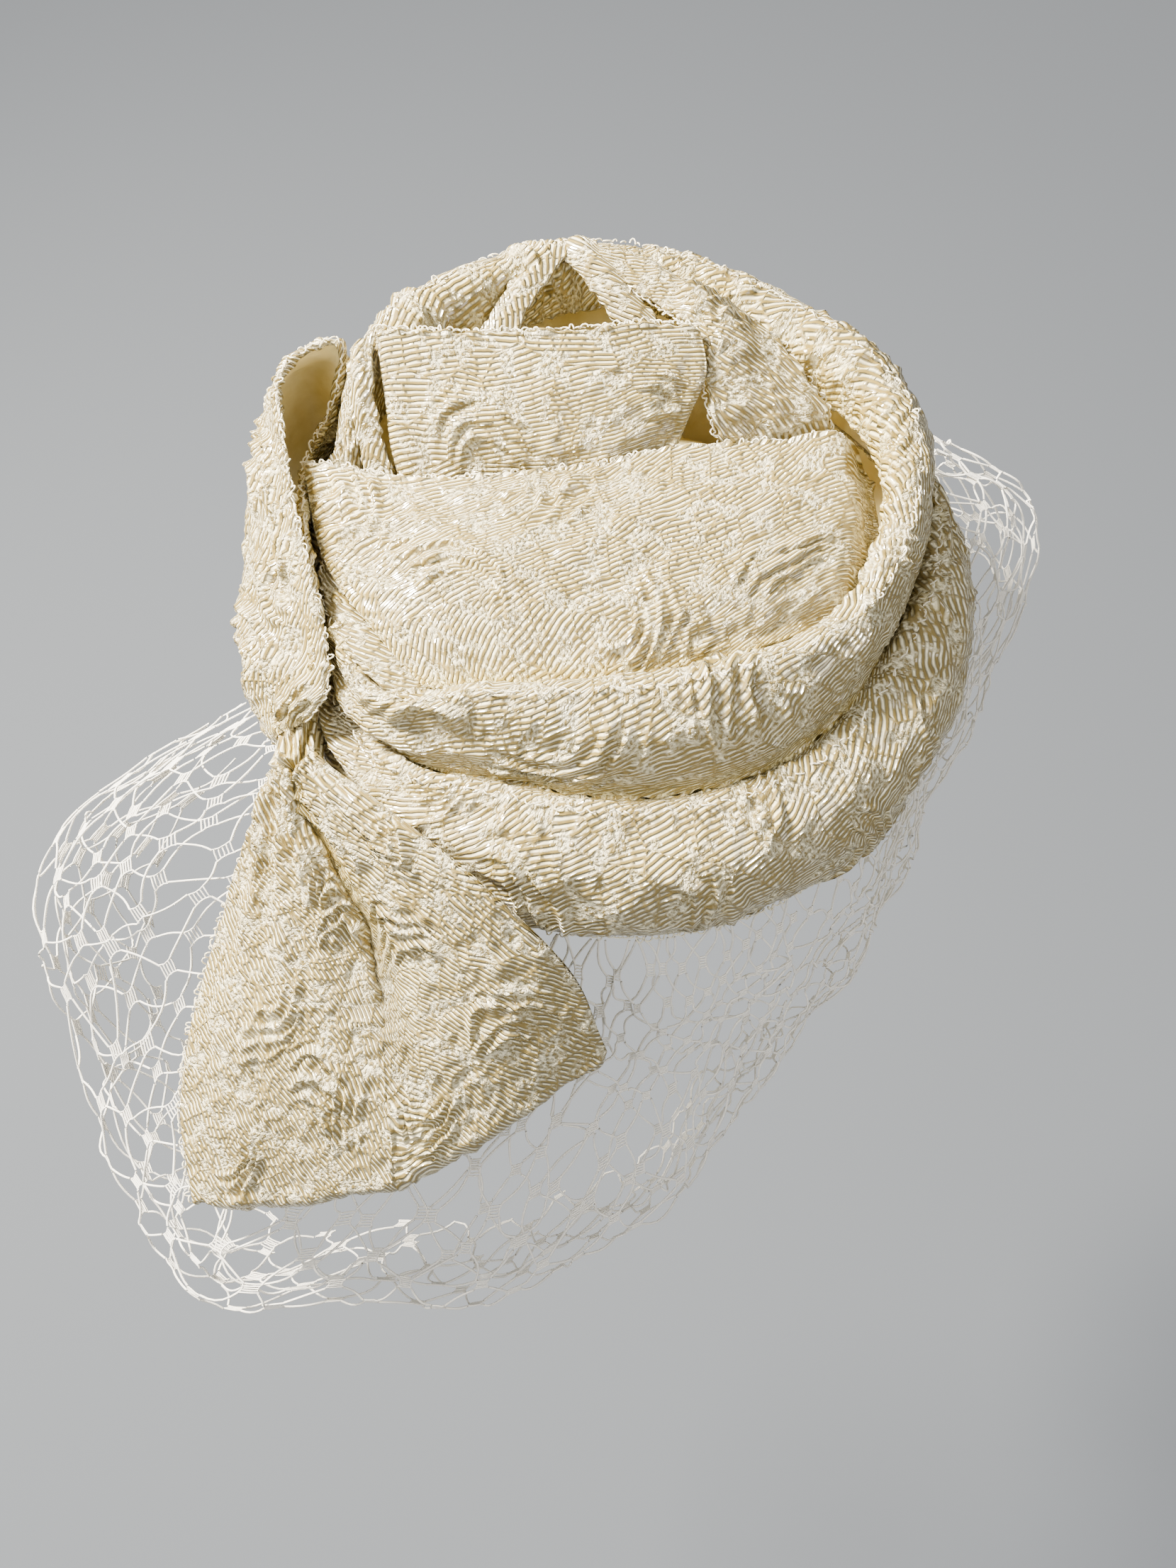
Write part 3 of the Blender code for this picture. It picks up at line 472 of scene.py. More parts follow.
def build(name, points, faces, uv, finishes, slots=None, crease=None, caps=()):
    """A smooth mesh piece from arrays of points, quads, per-point uv and per-face finish numbers.

    caps are further faces with any number of points each.
    """
    mesh = bpy.data.meshes.new(name)
    mesh.vertices.add(len(points))
    mesh.vertices.foreach_set("co", (points * MM).ravel())
    corners = np.concatenate([faces.ravel(), *[np.array(cap) for cap in caps]]).astype(int)
    sizes = np.array([faces.shape[1]] * len(faces) + [len(cap) for cap in caps])
    mesh.loops.add(len(corners))
    mesh.loops.foreach_set("vertex_index", corners)
    mesh.polygons.add(len(sizes))
    mesh.polygons.foreach_set("loop_start", np.cumsum(sizes) - sizes)
    if slots is not None:
        mesh.polygons.foreach_set("material_index", np.append(slots, np.zeros(len(caps), int)))
    mesh.update(calc_edges=True)
    layer = mesh.uv_layers.new(name="cloth_mm")
    layer.data.foreach_set("uv", uv[corners].ravel())
    # The crease attribute is painted shade: how much of the darker gold crease colour each point takes.
    if crease is not None:
        deep = mesh.attributes.new("crease", "FLOAT", "POINT")
        deep.data.foreach_set("value", crease)
    for finish in finishes:
        mesh.materials.append(finish)
    mesh.shade_smooth()
    piece = bpy.data.objects.new(name, mesh)
    bpy.context.scene.collection.objects.link(piece)
    return piece


def loop_faces(rows, size):
    """Quads that join closed section loops, row after row."""
    index = np.arange(rows * size).reshape(rows, size)
    a, b = index[:-1], index[1:]
    return np.stack([a, np.roll(a, -1, 1), np.roll(b, -1, 1), b], axis=-1).reshape(-1, 4)


def cloth(name, sheet, node, finishes, inside, ribs=0.0, seed=1, sway=0.7, rise=1.0, roll=ROLL,
          ends=False, extra=None, crease=None, drawn=None):
    """A thick cloth over a mid-surface grid, in place of a CAD node.

    sheet is (grid, u, v). Each section becomes a closed loop: the outer side at n (CLOTH / 2 +
    relief), a half-round rolled edge of radius roll (1 + nubs), the under side, and a second
    rolled edge. inside is a point behind the sheet, and ribs the angle of the ribs to u in
    degrees. With ends, both ends are drawn together. drawn, where given, takes the points and u
    and gives the cloth's coordinates in place of u and v.
    """
    grid, u, v = sheet
    uu, vv = np.meshgrid(u, v, indexing="ij")
    normal, across = grid_normals(grid)
    side = np.sign((normal * (grid - np.array(inside, float))).sum(axis=2).mean())
    normal = normal * side
    broad, narrow = value_noise(uu / 26, vv / 15, seed + 20), value_noise(uu / 9, vv / 8, seed + 21)
    soft = sway * (broad + 0.45 * narrow)
    if extra is not None:
        soft = soft + extra(uu, vv)
    off_edge, off_end = between(0, 5, vv), between(0, 4, uu)
    soft = soft * off_edge * off_end
    relief, groove = blisters(uu, vv, seed)
    relief = relief * rise * (0.25 + 0.75 * np.minimum(off_edge, off_end))
    grid = grid + normal * soft[..., None]
    shut = between(-0.6, 1.8, uu) if ends else np.ones(uu.shape)
    upper = grid + normal * ((CLOTH / 2 - 0.15 + relief) * shut)[..., None]
    picks = np.unique(np.append(np.arange(0, len(v), UNDER_STEP), len(v) - 1))[::-1]
    lift = (CLOTH / 2 + 0.35 * value_noise(uu / 3, vv / 3, seed + 30)) * shut
    under = (grid - normal * lift[..., None])[:, picks]
    turns = np.radians(EDGE_TURNS)
    rolls, roll_v = [], []
    for column in (-1, 0):
        nubs = 1 + 0.5 * value_noise(u / 1.9, np.full(len(u), 3.0 * column), seed + 40)
        size = (roll * nubs)[:, None, None] * shut[:, :1, None]
        bend = turns if column else turns[::-1]
        out = across[:, column] * (1 if column else -1)
        arc = (
            normal[:, column][:, None] * np.cos(bend)[None, :, None]
            + out[:, None] * np.sin(bend)[None, :, None]
        )
        rolls.append(grid[:, column][:, None] + arc * size)
        round_v = v[column] + (1 if column else -1) * bend * roll
        roll_v.append(np.broadcast_to(round_v, (len(u), len(turns))))
    loops = np.concatenate([upper, rolls[0], under, rolls[1]], axis=1)
    all_v = np.concatenate([vv, roll_v[0], vv[:, picks], roll_v[1]], axis=1)
    all_u = np.broadcast_to(u[:, None], all_v.shape)
    angle = math.radians(ribs)
    along_rib = all_u * math.cos(angle) + all_v * math.sin(angle)
    over_ribs = all_v * math.cos(angle) - all_u * math.sin(angle)
    uv = np.stack([along_rib, over_ribs], axis=-1)
    if drawn is not None:
        uv = drawn(loops, all_u)
    uv = uv.reshape(-1, 2)
    rows, size = loops.shape[:2]
    faces = loop_faces(rows, size)
    caps = []
    if ends:
        for row, flip in ((0, 1), (rows - 1, -1)):
            for k in range(len(picks) - 1):
                top = np.arange(picks[k + 1], picks[k] + 1)
                below = len(v) + len(turns) + np.array([k, k + 1])
                caps.append((row * size + np.append(top, below))[:: flip * int(side)])
    slot = np.zeros((rows - 1, size), int)
    first_under = len(v) + len(turns)
    slot[:, first_under : first_under + len(picks) - 1] = 1
    if side < 0:
        faces = faces[:, ::-1]
    # Painted shade: deep holds how strongly each point takes the darker gold crease colour, from the crease
    # mask and, on the outer side, half the welts' grooves.
    deep = np.zeros(all_v.shape)
    if crease is not None:
        deep = deep + crease(all_u, all_v)
    deep[:, : len(v)] = np.clip(deep[:, : len(v)] + 0.5 * groove, 0, 1)
    piece = build(name, loops.reshape(-1, 3), faces, uv, finishes, slot.ravel(),
                  deep.ravel().astype(np.float32), caps)
    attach(piece, "root")
    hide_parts(node)
    return piece


def lower_profile(azimuths):
    """The lower swathe's section points (r, z) at azimuths."""
    table = columns(LOWER_COLUMNS, LOWER_SWATHE)
    points = section_points(table, "belly shoulder ridge tuck")
    foot = np.broadcast_to([LOWER_FOOT_R, LOWER_FOOT_Z], (len(points), 1, 2))
    return round_trip(table["azimuth"], np.concatenate([foot, points], axis=1), azimuths)


def upper_profile(azimuths):
    """The upper swathe's section points (r, z) at azimuths."""
    table = columns(UPPER_COLUMNS, UPPER_SWATHE)
    points = section_points(table, "belly shoulder ridge lip hem")
    foot = lower_profile(table["azimuth"])[:, -1:] + [-UPPER_FOOT_IN, UPPER_FOOT_UP]
    return round_trip(table["azimuth"], np.concatenate([foot, points], axis=1), azimuths)


def centre_fold_points():
    """The centre fold's rows, with its foot on the cap."""
    table = columns(CENTRE_FOLD_COLUMNS, CENTRE_FOLD)
    spread = (table["foot_x"] ** 2 + table["foot_y"] ** 2) / CAP_RADIUS**2
    table["foot_z"] = CAP_HEIGHT * np.sqrt(1 - spread) + CLOTH / 2 + GAP
    return section_points(table, "foot low high edge")


def front_loop_sheet():
    """The fan's upper layer, a half-round turn of radius g / 2, and the under layer g below.

    The gap g grows as s^3 from the waist to the loop's end, and closes to a third at the sides.
    """
    points = rows_of(FRONT_LOOP_COLUMNS, FRONT_LOOP, "start upper middle lower end")
    top, u, v = fine_sheet(points, 0.56)
    normal, across = grid_normals(top)
    normal *= np.sign(normal[..., 2:].mean())
    share = (v / v[-1])[None, :, None]
    gap = LOOP_GAP_AT_WAIST + (LOOP_GAP_AT_END - LOOP_GAP_AT_WAIST) * share**3
    gap = gap * (0.35 + 0.65 * between(0, 12, u))[:, None, None]
    under = (top - normal * gap)[:, ::-2]
    radius = gap[:, -1:] / 2
    bend = np.radians(np.linspace(12, 168, 12))
    reach = across[:, -1:] * np.sin(bend)[:, None] - normal[:, -1:] * (1 - np.cos(bend))[:, None]
    grid = np.concatenate([top, top[:, -1:] + reach * radius, under], axis=1)
    turn = LOOP_GAP_AT_END / 2
    all_v = np.concatenate([v, v[-1] + turn * bend, v[-1] + turn * math.pi + v[-1] - v[::-2]])
    return grid, u * FAN_WIDTH_SCALE, all_v


def tubes(curves, radius):
    """Points and quads of round threads of one radius along curves (thread, place, xyz)."""
    sides = THREAD_SIDES
    count, places = curves.shape[:2]
    along = unit(np.gradient(curves, axis=1))
    first = unit(np.cross(along, [0.31, 0.17, 0.94]))
    second = np.cross(along, first)
    turn = np.arange(sides) * 2 * math.pi / sides
    ring = (
        first[:, :, None] * np.cos(turn)[None, None, :, None]
        + second[:, :, None] * np.sin(turn)[None, None, :, None]
    )
    points = (curves[:, :, None] + ring * radius).reshape(-1, 3)
    index = np.arange(count * places * sides).reshape(count, places, sides)
    a, b = index[:, :-1], index[:, 1:]
    faces = np.stack([a, b, np.roll(b, -1, 2), np.roll(a, -1, 2)], axis=-1).reshape(-1, 4)
    return points, faces


def join(parts):
    """Several (points, faces) as one."""
    starts = np.cumsum([0] + [len(points) for points, _ in parts])
    faces = [quads + start for (_, quads), start in zip(parts, starts)]
    return np.concatenate([points for points, _ in parts]), np.concatenate(faces)


def read_line(line, far, at):
    """Points of a line at the distances in at, where far is the distance along it of each point."""
    return np.stack([np.interp(at, far, line[:, k]) for k in range(3)], axis=1)


def thread_loops(lines, finish):
    """Small loops of floating thread along the folds' edges, half ellipses standing on the edge.

    Each is p + t w cos(a) + o h sin(a), for a from 0 to pi, with t along the edge and o outward.
    """
    rng = np.random.default_rng(11)
    curves = []
    arc = np.linspace(0, math.pi, 6)
    for path, out, gap in lines:
        far = np.concatenate([[0], np.cumsum(np.linalg.norm(np.diff(path, axis=0), axis=1))])
        count = int(far[-1] / gap)
        at = (np.arange(count) + rng.random(count)) * gap
        spot = read_line(path, far, at)
        ahead = unit(read_line(path, far, at + 0.5) - spot)
        away = unit(read_line(out, far, at))
        side = np.cross(ahead, away)
        tilt = rng.uniform(-1.0, 1.0, (count, 1))
        away = away * np.cos(tilt) + side * np.sin(tilt)
        yaw = rng.uniform(-0.7, 0.7, (count, 1))
        ahead = ahead * np.cos(yaw) + side * np.sin(yaw)
        wide = rng.uniform(0.6, 1.3, (count, 1, 1))
        tall = 0.4 + 1.4 * rng.random((count, 1, 1)) ** 2
        curves.append(
            spot[:, None]
            + ahead[:, None] * wide * np.cos(arc)[None, :, None]
            + away[:, None] * tall * np.sin(arc)[None, :, None]
        )
    points, faces = tubes(np.concatenate(curves), LOOP_RADIUS)
    piece = build("thread_loops", points, faces, points[:, :2], [finish])
    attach(piece, "root")
    return piece


def veil_at(azimuth, share, inward=0.0):
    """Points of the veil's surface at azimuths and shares of the way down, with soft ripples."""
    table = columns(VEIL_COLUMNS, VEIL)
    points = section_points(table, "neck out belly hem")
    top = np.broadcast_to([VEIL_TOP_R, VEIL_TOP_Z], (len(points), 1, 2))
    profile = hermite(table["azimuth"], np.concatenate([top, points], axis=1), azimuth)
    weights = hermite(np.array(VEIL_SHARES), np.eye(5), np.clip(share, 0, 1))
    spot = (weights[:, :, None] * profile).sum(axis=1)
    ripple = 2.6 * share * np.sin(np.radians(azimuth) * 17 + 2.0 * share)
    r = spot[:, 0] + ripple - inward * share
    z = spot[:, 1] + 1.5 * share * np.cos(np.radians(azimuth) * 11)
    return polar(azimuth, np.stack([r, z], axis=1)[:, None])[:, 0]


def net_layer(first, last, cells, rows, inward, seed):
    """One layer of knotted net between two azimuths: its knots and the strands between them.

    Knots lie on a staggered lattice, jittered, and every knot ties to two knots in the next row.
    A strand runs from one knot's corner to the next one's, so the openings are six-sided, and
    bows a little.
    """
    rng = np.random.default_rng(seed)
    wide = (last - first) / cells
    row, column = np.meshgrid(np.arange(rows + 1), np.arange(cells + 1), indexing="ij")
    azimuth = first + (column + 0.5 * (row % 2)) * wide + rng.normal(0, 0.10, row.shape) * wide
    share = (row + rng.normal(0, 0.10, row.shape) * (row > 0)) / rows
    share = share + (row == rows) * rng.uniform(-0.5, 0.2, row.shape) / rows
    azimuth = np.clip(azimuth, VEIL[0][0], VEIL[-1][0])
    knots = np.stack([azimuth, share], axis=-1)
    starts, ends = [], []
    low, high = np.array([KNOT_TURN, KNOT_SHARE]), np.array([-KNOT_TURN, -KNOT_SHARE])
    for k in range(rows):
        shift = 1 if k % 2 else 0
        starts += [knots[k, : cells + 1 - shift] + low, knots[k, 1 - shift :] + low * [-1, 1]]
        ends += [knots[k + 1, shift:] + high, knots[k + 1, : cells + shift] + high * [-1, 1]]
    start, end = np.concatenate(starts), np.concatenate(ends)
    t = np.linspace(0, 1, 6)
    lines = start[:, None] * (1 - t)[None, :, None] + end[:, None] * t[None, :, None]
    curves = veil_at(lines[..., 0].ravel(), lines[..., 1].ravel(), inward).reshape(len(start), len(t), 3)
    sag = rng.normal(0, 0.7, (len(start), 1, 3)) * np.sin(math.pi * t)[None, :, None]
    return curves + sag, knots


def knot_patches(azimuth, share, inward, seed):
    """The woven knots: ladders of two side threads that bend outward, and five rungs."""
    rng = np.random.default_rng(seed)
    t = np.linspace(-1, 1, 4)
    size = rng.uniform(0.85, 1.15, (len(azimuth), 1))
    skew = rng.normal(0, 0.25, (len(azimuth), 1))
    lines = []
    for side in (-1.0, 1.0):
        lines.append((side * (0.72 + 0.28 * t**2) + 0 * size, t + 0 * size))
    for height in (-0.8, -0.4, 0.0, 0.4, 0.8):
        lines.append((t * (0.72 + 0.28 * height**2) * 1.1 + 0 * size, height + skew * t * 0.3))
    bars = []
    for along, down in lines:
        turned = azimuth[:, None] + KNOT_TURN * size * along
        dropped = share[:, None] + KNOT_SHARE * size * down
        spots = veil_at(turned.ravel(), dropped.ravel(), inward).reshape(len(azimuth), len(t), 3)
        bars.append(spots + rng.normal(0, 0.06, spots.shape))
    return np.concatenate(bars)


def linear(code):
    """A colour written as sRGB hex, as linear values: ((c + 0.055) / 1.055)^2.4 above 0.04045."""
    parts = [int(code[i : i + 2], 16) / 255 for i in (1, 3, 5)]
    return (*[c / 12.92 if c <= 0.04045 else ((c + 0.055) / 1.055) ** 2.4 for c in parts], 1.0)


def node(tree, kind, sockets, **settings):
    """Add a shader node with its settings. Each socket gets a value, an output or a node's first one."""
    made = tree.nodes.new("ShaderNode" + kind)
    for key, value in settings.items():
        setattr(made, key, value)
    for key, value in sockets.items():
        if isinstance(value, bpy.types.Node):
            value = value.outputs[0]
        if isinstance(value, bpy.types.NodeSocket):
            tree.links.new(value, made.inputs[key])
        else:
            made.inputs[key].default_value = value
    return made


def shader(name, roughness):
    """A new material, its tree and its Principled node."""
    finish = bpy.data.materials.new(name)
    finish.use_nodes = True
    tree = finish.node_tree
    principled = tree.nodes["Principled BSDF"]
    principled.inputs["Roughness"].default_value = roughness
    return finish, tree, principled


def join_shader(tree, principled, colour, height, strength, depth):
    """Give the Principled node a base colour, and a bump of a height times a depth in mm."""
    bump = node(tree, "Bump", {"Strength": strength, "Distance": depth * MM, "Height": height})
    tree.links.new(colour, principled.inputs["Base Color"])
    tree.links.new(bump.outputs[0], principled.inputs["Normal"])


def cloque_silk():
    """Silk cloque, also called matelasse: two warps woven together, and the back one shrinks.

    The face blisters up in shells between the stitching lines, and its satin ribs of floating
    thread run on over them, so the eye sees white glints on ribs 1.3 mm apart, tan in between,
    short dashes in brick bond, and tufts where the two cloths change places.
    """
    finish, tree, principled = shader("cloque_silk", 0.2)
    principled.inputs["Specular IOR Level"].default_value = 0.9
    place = node(tree, "UVMap", {}, uv_map="cloth_mm")
    # The cloth's coordinates are shoved about, widely and slowly and then a little and quickly.
    wavy = place
    for scale, reach in ((0.013, 22.0), (0.22, 0.8)):
        drift = node(tree, "TexNoise", {"Vector": place, "Scale": scale, "Detail": 1.0})
        shift = {0: drift.outputs["Color"], 1: (0.5, 0.5, 0.5)}
        centred = node(tree, "VectorMath", shift, operation="SUBTRACT")
        shove = node(tree, "VectorMath", {0: centred, 3: reach}, operation="SCALE")
        wavy = node(tree, "VectorMath", {0: wavy, 1: shove}, operation="ADD")
    # Each patch of about 12 mm leans its ribs its own way, up to 13 degrees, and shifts them.
    cells = {"Vector": wavy, "Scale": 0.085, "Randomness": 1.0}
    patch = node(tree, "TexVoronoi", cells)
    parts = node(tree, "SeparateColor", {0: patch.outputs["Color"]})
    border = node(tree, "TexVoronoi", cells, feature="DISTANCE_TO_EDGE").outputs["Distance"]
    lean = node(tree, "Math", {0: parts, 1: 0.44, 2: -0.22}, operation="MULTIPLY_ADD")
    turned = node(tree, "VectorRotate", {"Vector": wavy, "Angle": lean}, rotation_type="Z_AXIS")
    axes = node(tree, "SeparateXYZ", {0: turned})
    # The ribs are a sine across the cloth, and dashes along them lie in brick bond.
    over = {0: axes.outputs[1], 1: 1 / RIB_STEP, 2: parts.outputs[1]}
    count = node(tree, "Math", over, operation="MULTIPLY_ADD")
    phase = node(tree, "Math", {0: count, 1: 2 * math.pi}, operation="MULTIPLY")
    rib = node(tree, "Math", {0: phase}, operation="SINE")
    rib = node(tree, "MapRange", {0: rib, 1: -0.6, 2: 0.8, 3: 0.0, 4: 1.0})
    nearest = node(tree, "Math", {0: count, 1: 0.25}, operation="ADD")
    number = node(tree, "Math", {0: nearest}, operation="FLOOR")
    scatter = node(tree, "Math", {0: number, 1: 12.99}, operation="MULTIPLY")
    scatter = node(tree, "Math", {0: scatter}, operation="SINE")
    scatter = node(tree, "Math", {0: scatter, 1: 5.3}, operation="MULTIPLY")
    along = {0: axes.outputs[0], 1: 1 / DASH_STEP, 2: scatter}
    beat = node(tree, "Math", along, operation="MULTIPLY_ADD")
    beat = node(tree, "Math", {0: beat, 1: 2 * math.pi}, operation="MULTIPLY")
    beat = node(tree, "Math", {0: beat}, operation="SINE")
    dash = node(tree, "MapRange", {0: beat, 1: -1.0, 2: -0.1, 3: 0.2, 4: 1.0})
    broken = node(tree, "TexNoise", {"Vector": place, "Scale": 0.07, "Detail": 2.0})
    broken = node(tree, "MapRange", {0: broken, 1: 0.43, 2: 0.50, 3: 0.0, 4: 1.0})
    whole = node(tree, "Math", {0: 1.0, 1: broken}, operation="SUBTRACT")
    dash = node(tree, "Math", {0: dash, 1: whole}, operation="MAXIMUM")
    edge = node(tree, "MapRange", {0: border, 1: 0.008, 2: 0.040, 3: 0.2, 4: 1.0})
    rib = node(tree, "Math", {0: rib, 1: dash}, operation="MULTIPLY")
    rib = node(tree, "Math", {0: rib, 1: edge}, operation="MULTIPLY")
    # Tufts take the ribs' place where a slow noise is high.
    tuft = node(tree, "TexNoise", {"Vector": turned, "Scale": 1.0, "Detail": 3.0})
    tuft = node(tree, "MapRange", {0: tuft, 1: 0.38, 2: 0.62, 3: 0.0, 4: 1.0})
    tufted = node(tree, "TexNoise", {"Vector": place, "Scale": 0.16, "Detail": 1.0})
    tufted = node(tree, "MapRange", {0: tufted, 1: 0.51, 2: 0.62, 3: 0.0, 4: 0.85})
    height = node(tree, "Mix", {0: tufted, 2: rib, 3: tuft})
    # The colour runs from tan in the rib valleys to cream on the crests: the tan is painted shade of the
    # ribs,
    #     # over their bump. Where the crease attribute is high it turns to the darker gold pair: painted
    #     shade, golden, deep in the creases and grooves.
    deep = node(tree, "Attribute", {}, attribute_name="crease").outputs["Fac"]
    rib_shade = node(tree, "MapRange", {0: height, 1: 0.05, 2: 0.8, 3: 0.0, 4: 1.0})
    tints = []
    for valley, ridge in (("#8B7843", "#FFF5CE"), ("#927B39", "#F4E3A2")):
        shades = {0: rib_shade, 6: linear(valley), 7: linear(ridge)}
        tints.append(node(tree, "Mix", shades, data_type="RGBA").outputs[2])
    blend = {0: deep, 6: tints[0], 7: tints[1]}
    colour = node(tree, "Mix", blend, data_type="RGBA").outputs[2]
    join_shader(tree, principled, colour, height, 1.0, 1.0)
    return finish


def smooth_silk():
    """Plain-woven silk, the back of the cloque: flat and dull, and painted gold for the warm light that
    passes through the silk and bounces about where little direct light gets in.
    """
    finish, tree, principled = shader("smooth_silk", 0.5)
    place = node(tree, "TexCoord", {}).outputs["Object"]
    slub = node(tree, "TexNoise", {"Vector": place, "Scale": 260.0, "Detail": 3.0})
    weave = node(tree, "TexNoise", {"Vector": place, "Scale": 2400.0, "Detail": 1.0})
    # Painted light, golden: the gold stands for warm light passed through and bounced between the silk, and
    # the slub noise varies it at random.
    shades = {0: slub, 6: linear("#D7C37B"), 7: linear("#F4E7B3")}
    colour = node(tree, "Mix", shades, data_type="RGBA").outputs[2]
    both = node(tree, "Math", {0: slub, 1: 2.0, 2: weave}, operation="MULTIPLY_ADD")
    join_shader(tree, principled, colour, both, 0.8, 0.10)
    return finish


def thread(name, pale, dark, roughness):
    """Twisted thread, plied from filaments, which catch the light in small streaks."""
    finish, tree, principled = shader(name, roughness)
    place = node(tree, "TexCoord", {}).outputs["Object"]
    streak = node(tree, "TexNoise", {"Vector": place, "Scale": 1500.0, "Detail": 2.0})
    shades = {0: streak, 6: linear(dark), 7: linear(pale)}
    colour = node(tree, "Mix", shades, data_type="RGBA").outputs[2]
    join_shader(tree, principled, colour, streak, 0.6, 0.08)
    return finish


silk = cloque_silk()
plain = smooth_silk()
picot = thread("floating_silk_thread", "#FFFBEA", "#F0E2B8", 0.3)
net_thread = thread("net_cotton_thread", "#FFFDF6", "#EFEAE0", 0.6)

lower = fine_ring(lower_profile)
upper = fine_ring(upper_profile)
panel = fine_sheet(rows_of(CROWN_PANEL_COLUMNS, CROWN_PANEL, "foot low high edge"), 0.6)
fold = fine_sheet(centre_fold_points(), 0.6)
back_loop = fine_sheet(rows_of(BACK_LOOP_COLUMNS, BACK_LOOP, "low belly top"), 0.66)
fan = front_loop_sheet()
flap = fine_sheet(rows_of(STRAP_COLUMNS, RIGHT_FLAP, "left middle right"), 0.55)


def pinch(u, v, at, reach, folds, height):
    """Folds along a swathe that draw together at the bow's waist, fading with the distance."""
    wave = np.sin(2 * math.pi * folds * v / v.max() + 0.05 * (u - at))
    return height * np.exp(-(((u - at) / reach) ** 2)) * wave


def edge_crease_shade(v_low, v_high):
    """How deep in a crease each point lies, near the tucked edges of a sheet: painted shade, golden, there.
    """
    def amount(u, v):
        return np.clip(np.maximum(1 - (v - v.min()) / v_low, 1 - (v.max() - v) / v_high), 0, 1) ** 1.5
    return amount


def upper_crease_shade(u, v):
    """Painted shade, golden, in the foot, on the inner face round the right and the back, and beside the bow.
    """
    turn = SEAM_AZIMUTH + 360 * u / u.max()
    round_back = smooth(325, 345, turn) * (1 - smooth(500, 520, turn))
    foot = np.clip(1 - v / 9, 0, 1)
    inner = np.clip(1 - (v.max() - v) / (7 + 11 * round_back), 0, 1)
    beside = smooth(0.4, 0.6, v / v.max()) * (1 - smooth(196, 212, turn))
    return np.clip(np.maximum(foot, inner) ** 0.8 + 0.8 * beside, 0, 1)


def loop_crease_shade(u, v):
    """Painted shade, golden, on the loop's return layer and where the loop goes into the waist."""
    return np.clip(0.9 * smooth(0.5, 0.58, u / u.max()) + 0.6 * np.exp(-u / 5), 0, 1)


def panel_crease_shade(u, v):
    """Painted shade, golden, where the panel's foot is tucked in, and in the valley beyond its right side."""
    foot = np.clip(1 - v / 6, 0, 1) ** 1.5
    return np.clip(foot + 0.9 * smooth(-13, -5, u - u.max()) + 0.7 * np.exp(-u / 3), 0, 1)


def fan_crease_shade(u, v):
    """Painted shade, golden, in the pleat, 60% across the fan, and in the gathers near the waist."""
    across = u / u.max()
    pleat = np.exp(-(((across - 0.62) / 0.05) ** 2)) * (1 - smooth(30, 64, v))
    hollow_shade = np.clip(-np.sin(2 * math.pi * 7 * across + 0.03 * v), 0, 1) * np.exp(-v / 30)
    return np.clip(pleat + 0.3 * hollow_shade, 0, 1)


def fan_gathers(u, v):
    """Narrow folds that radiate from the waist: a e^(-v / 34) sin(2 pi 7 u / width)."""
    return 1.6 * np.exp(-v / 34) * np.sin(2 * math.pi * 7 * u / u.max() + 0.03 * v)


def fan_coordinates(points, u):
    """The fan's points on its own plane, turned so that x runs along the ribs.

    With d = -0.74 y - 0.67 z down the plane: (x cos a + d sin a, d cos a - x sin a), both counted
    from the pleat's low end, where a is 58 degrees in the left lobe and 24 in the right one.
    """
    x, down = points[..., 0] + 61, -0.74 * points[..., 1] - 0.67 * points[..., 2] - 100
    lean = np.radians(58 - 34 * smooth(0.55, 0.66, u / u.max()))
    along_rib = x * np.cos(lean) + down * np.sin(lean)
    return np.stack([along_rib, down * np.cos(lean) - x * np.sin(lean)], axis=-1)


round_lower, round_upper = lower[1][-1], upper[1][-1]
bow_lower, bow_upper = round_lower * 38 / 360, round_upper * 38 / 360
cloth("swathe_lower", lower, "lower_swathe", [silk, plain], (0, 0, 15), ribs=22, seed=1, sway=0.9,
      roll=1.2, extra=lambda u, v: pinch(u, v, bow_lower, 40, 4.4, 2.0), crease=edge_crease_shade(0.5, 7))
cloth("swathe_upper", upper, "upper_swathe", [silk, plain], (0, 0, 35), ribs=20, seed=5, sway=0.8,
      roll=1.2, extra=lambda u, v: pinch(u, v, bow_upper, 30, 3.4, 1.4), crease=upper_crease_shade)
cloth("panel", panel, "crown_panel", [silk, plain], (0, 0, 20), ribs=27, seed=9, ends=True, sway=0.9,
      crease=panel_crease_shade)
cloth("middle_fold", fold, "centre_fold", [silk, silk], (0, 40, 50), ribs=4, seed=13, ends=True, rise=0.8,
      crease=edge_crease_shade(9, 0.5))
cloth("loop_back", back_loop, "bow_back_loop", [silk, plain], (-94, 20, 30), ribs=40, seed=18,
      ends=True, sway=1.1, rise=1.25, crease=loop_crease_shade)
cloth("loop_front", fan, "bow_front_loop", [silk, silk], (-60, -90, -20), seed=21, ends=True, sway=0.8,
      extra=fan_gathers, crease=fan_crease_shade, drawn=fan_coordinates)
cloth("flap", flap, "right_flap", [silk, plain], (30, 40, 50), ribs=25, seed=26, ends=True,
      roll=1.3, rise=1.2)
for number, (name, rows) in enumerate(
    (("left_strap", LEFT_STRAP), ("left_fold", LEFT_FOLD),
     ("back_left_strap", BACK_LEFT_STRAP), ("back_right_strap", BACK_RIGHT_STRAP))
):
    sheet = fine_sheet(rows_of(STRAP_COLUMNS, rows, "left middle right"), 0.5)
    cloth(name + "_cloth", sheet, name, [silk, silk], (0, 40, 20), ribs=14, seed=29 + number, ends=True,
          sway=0.5, rise=0.5, roll=1.3)


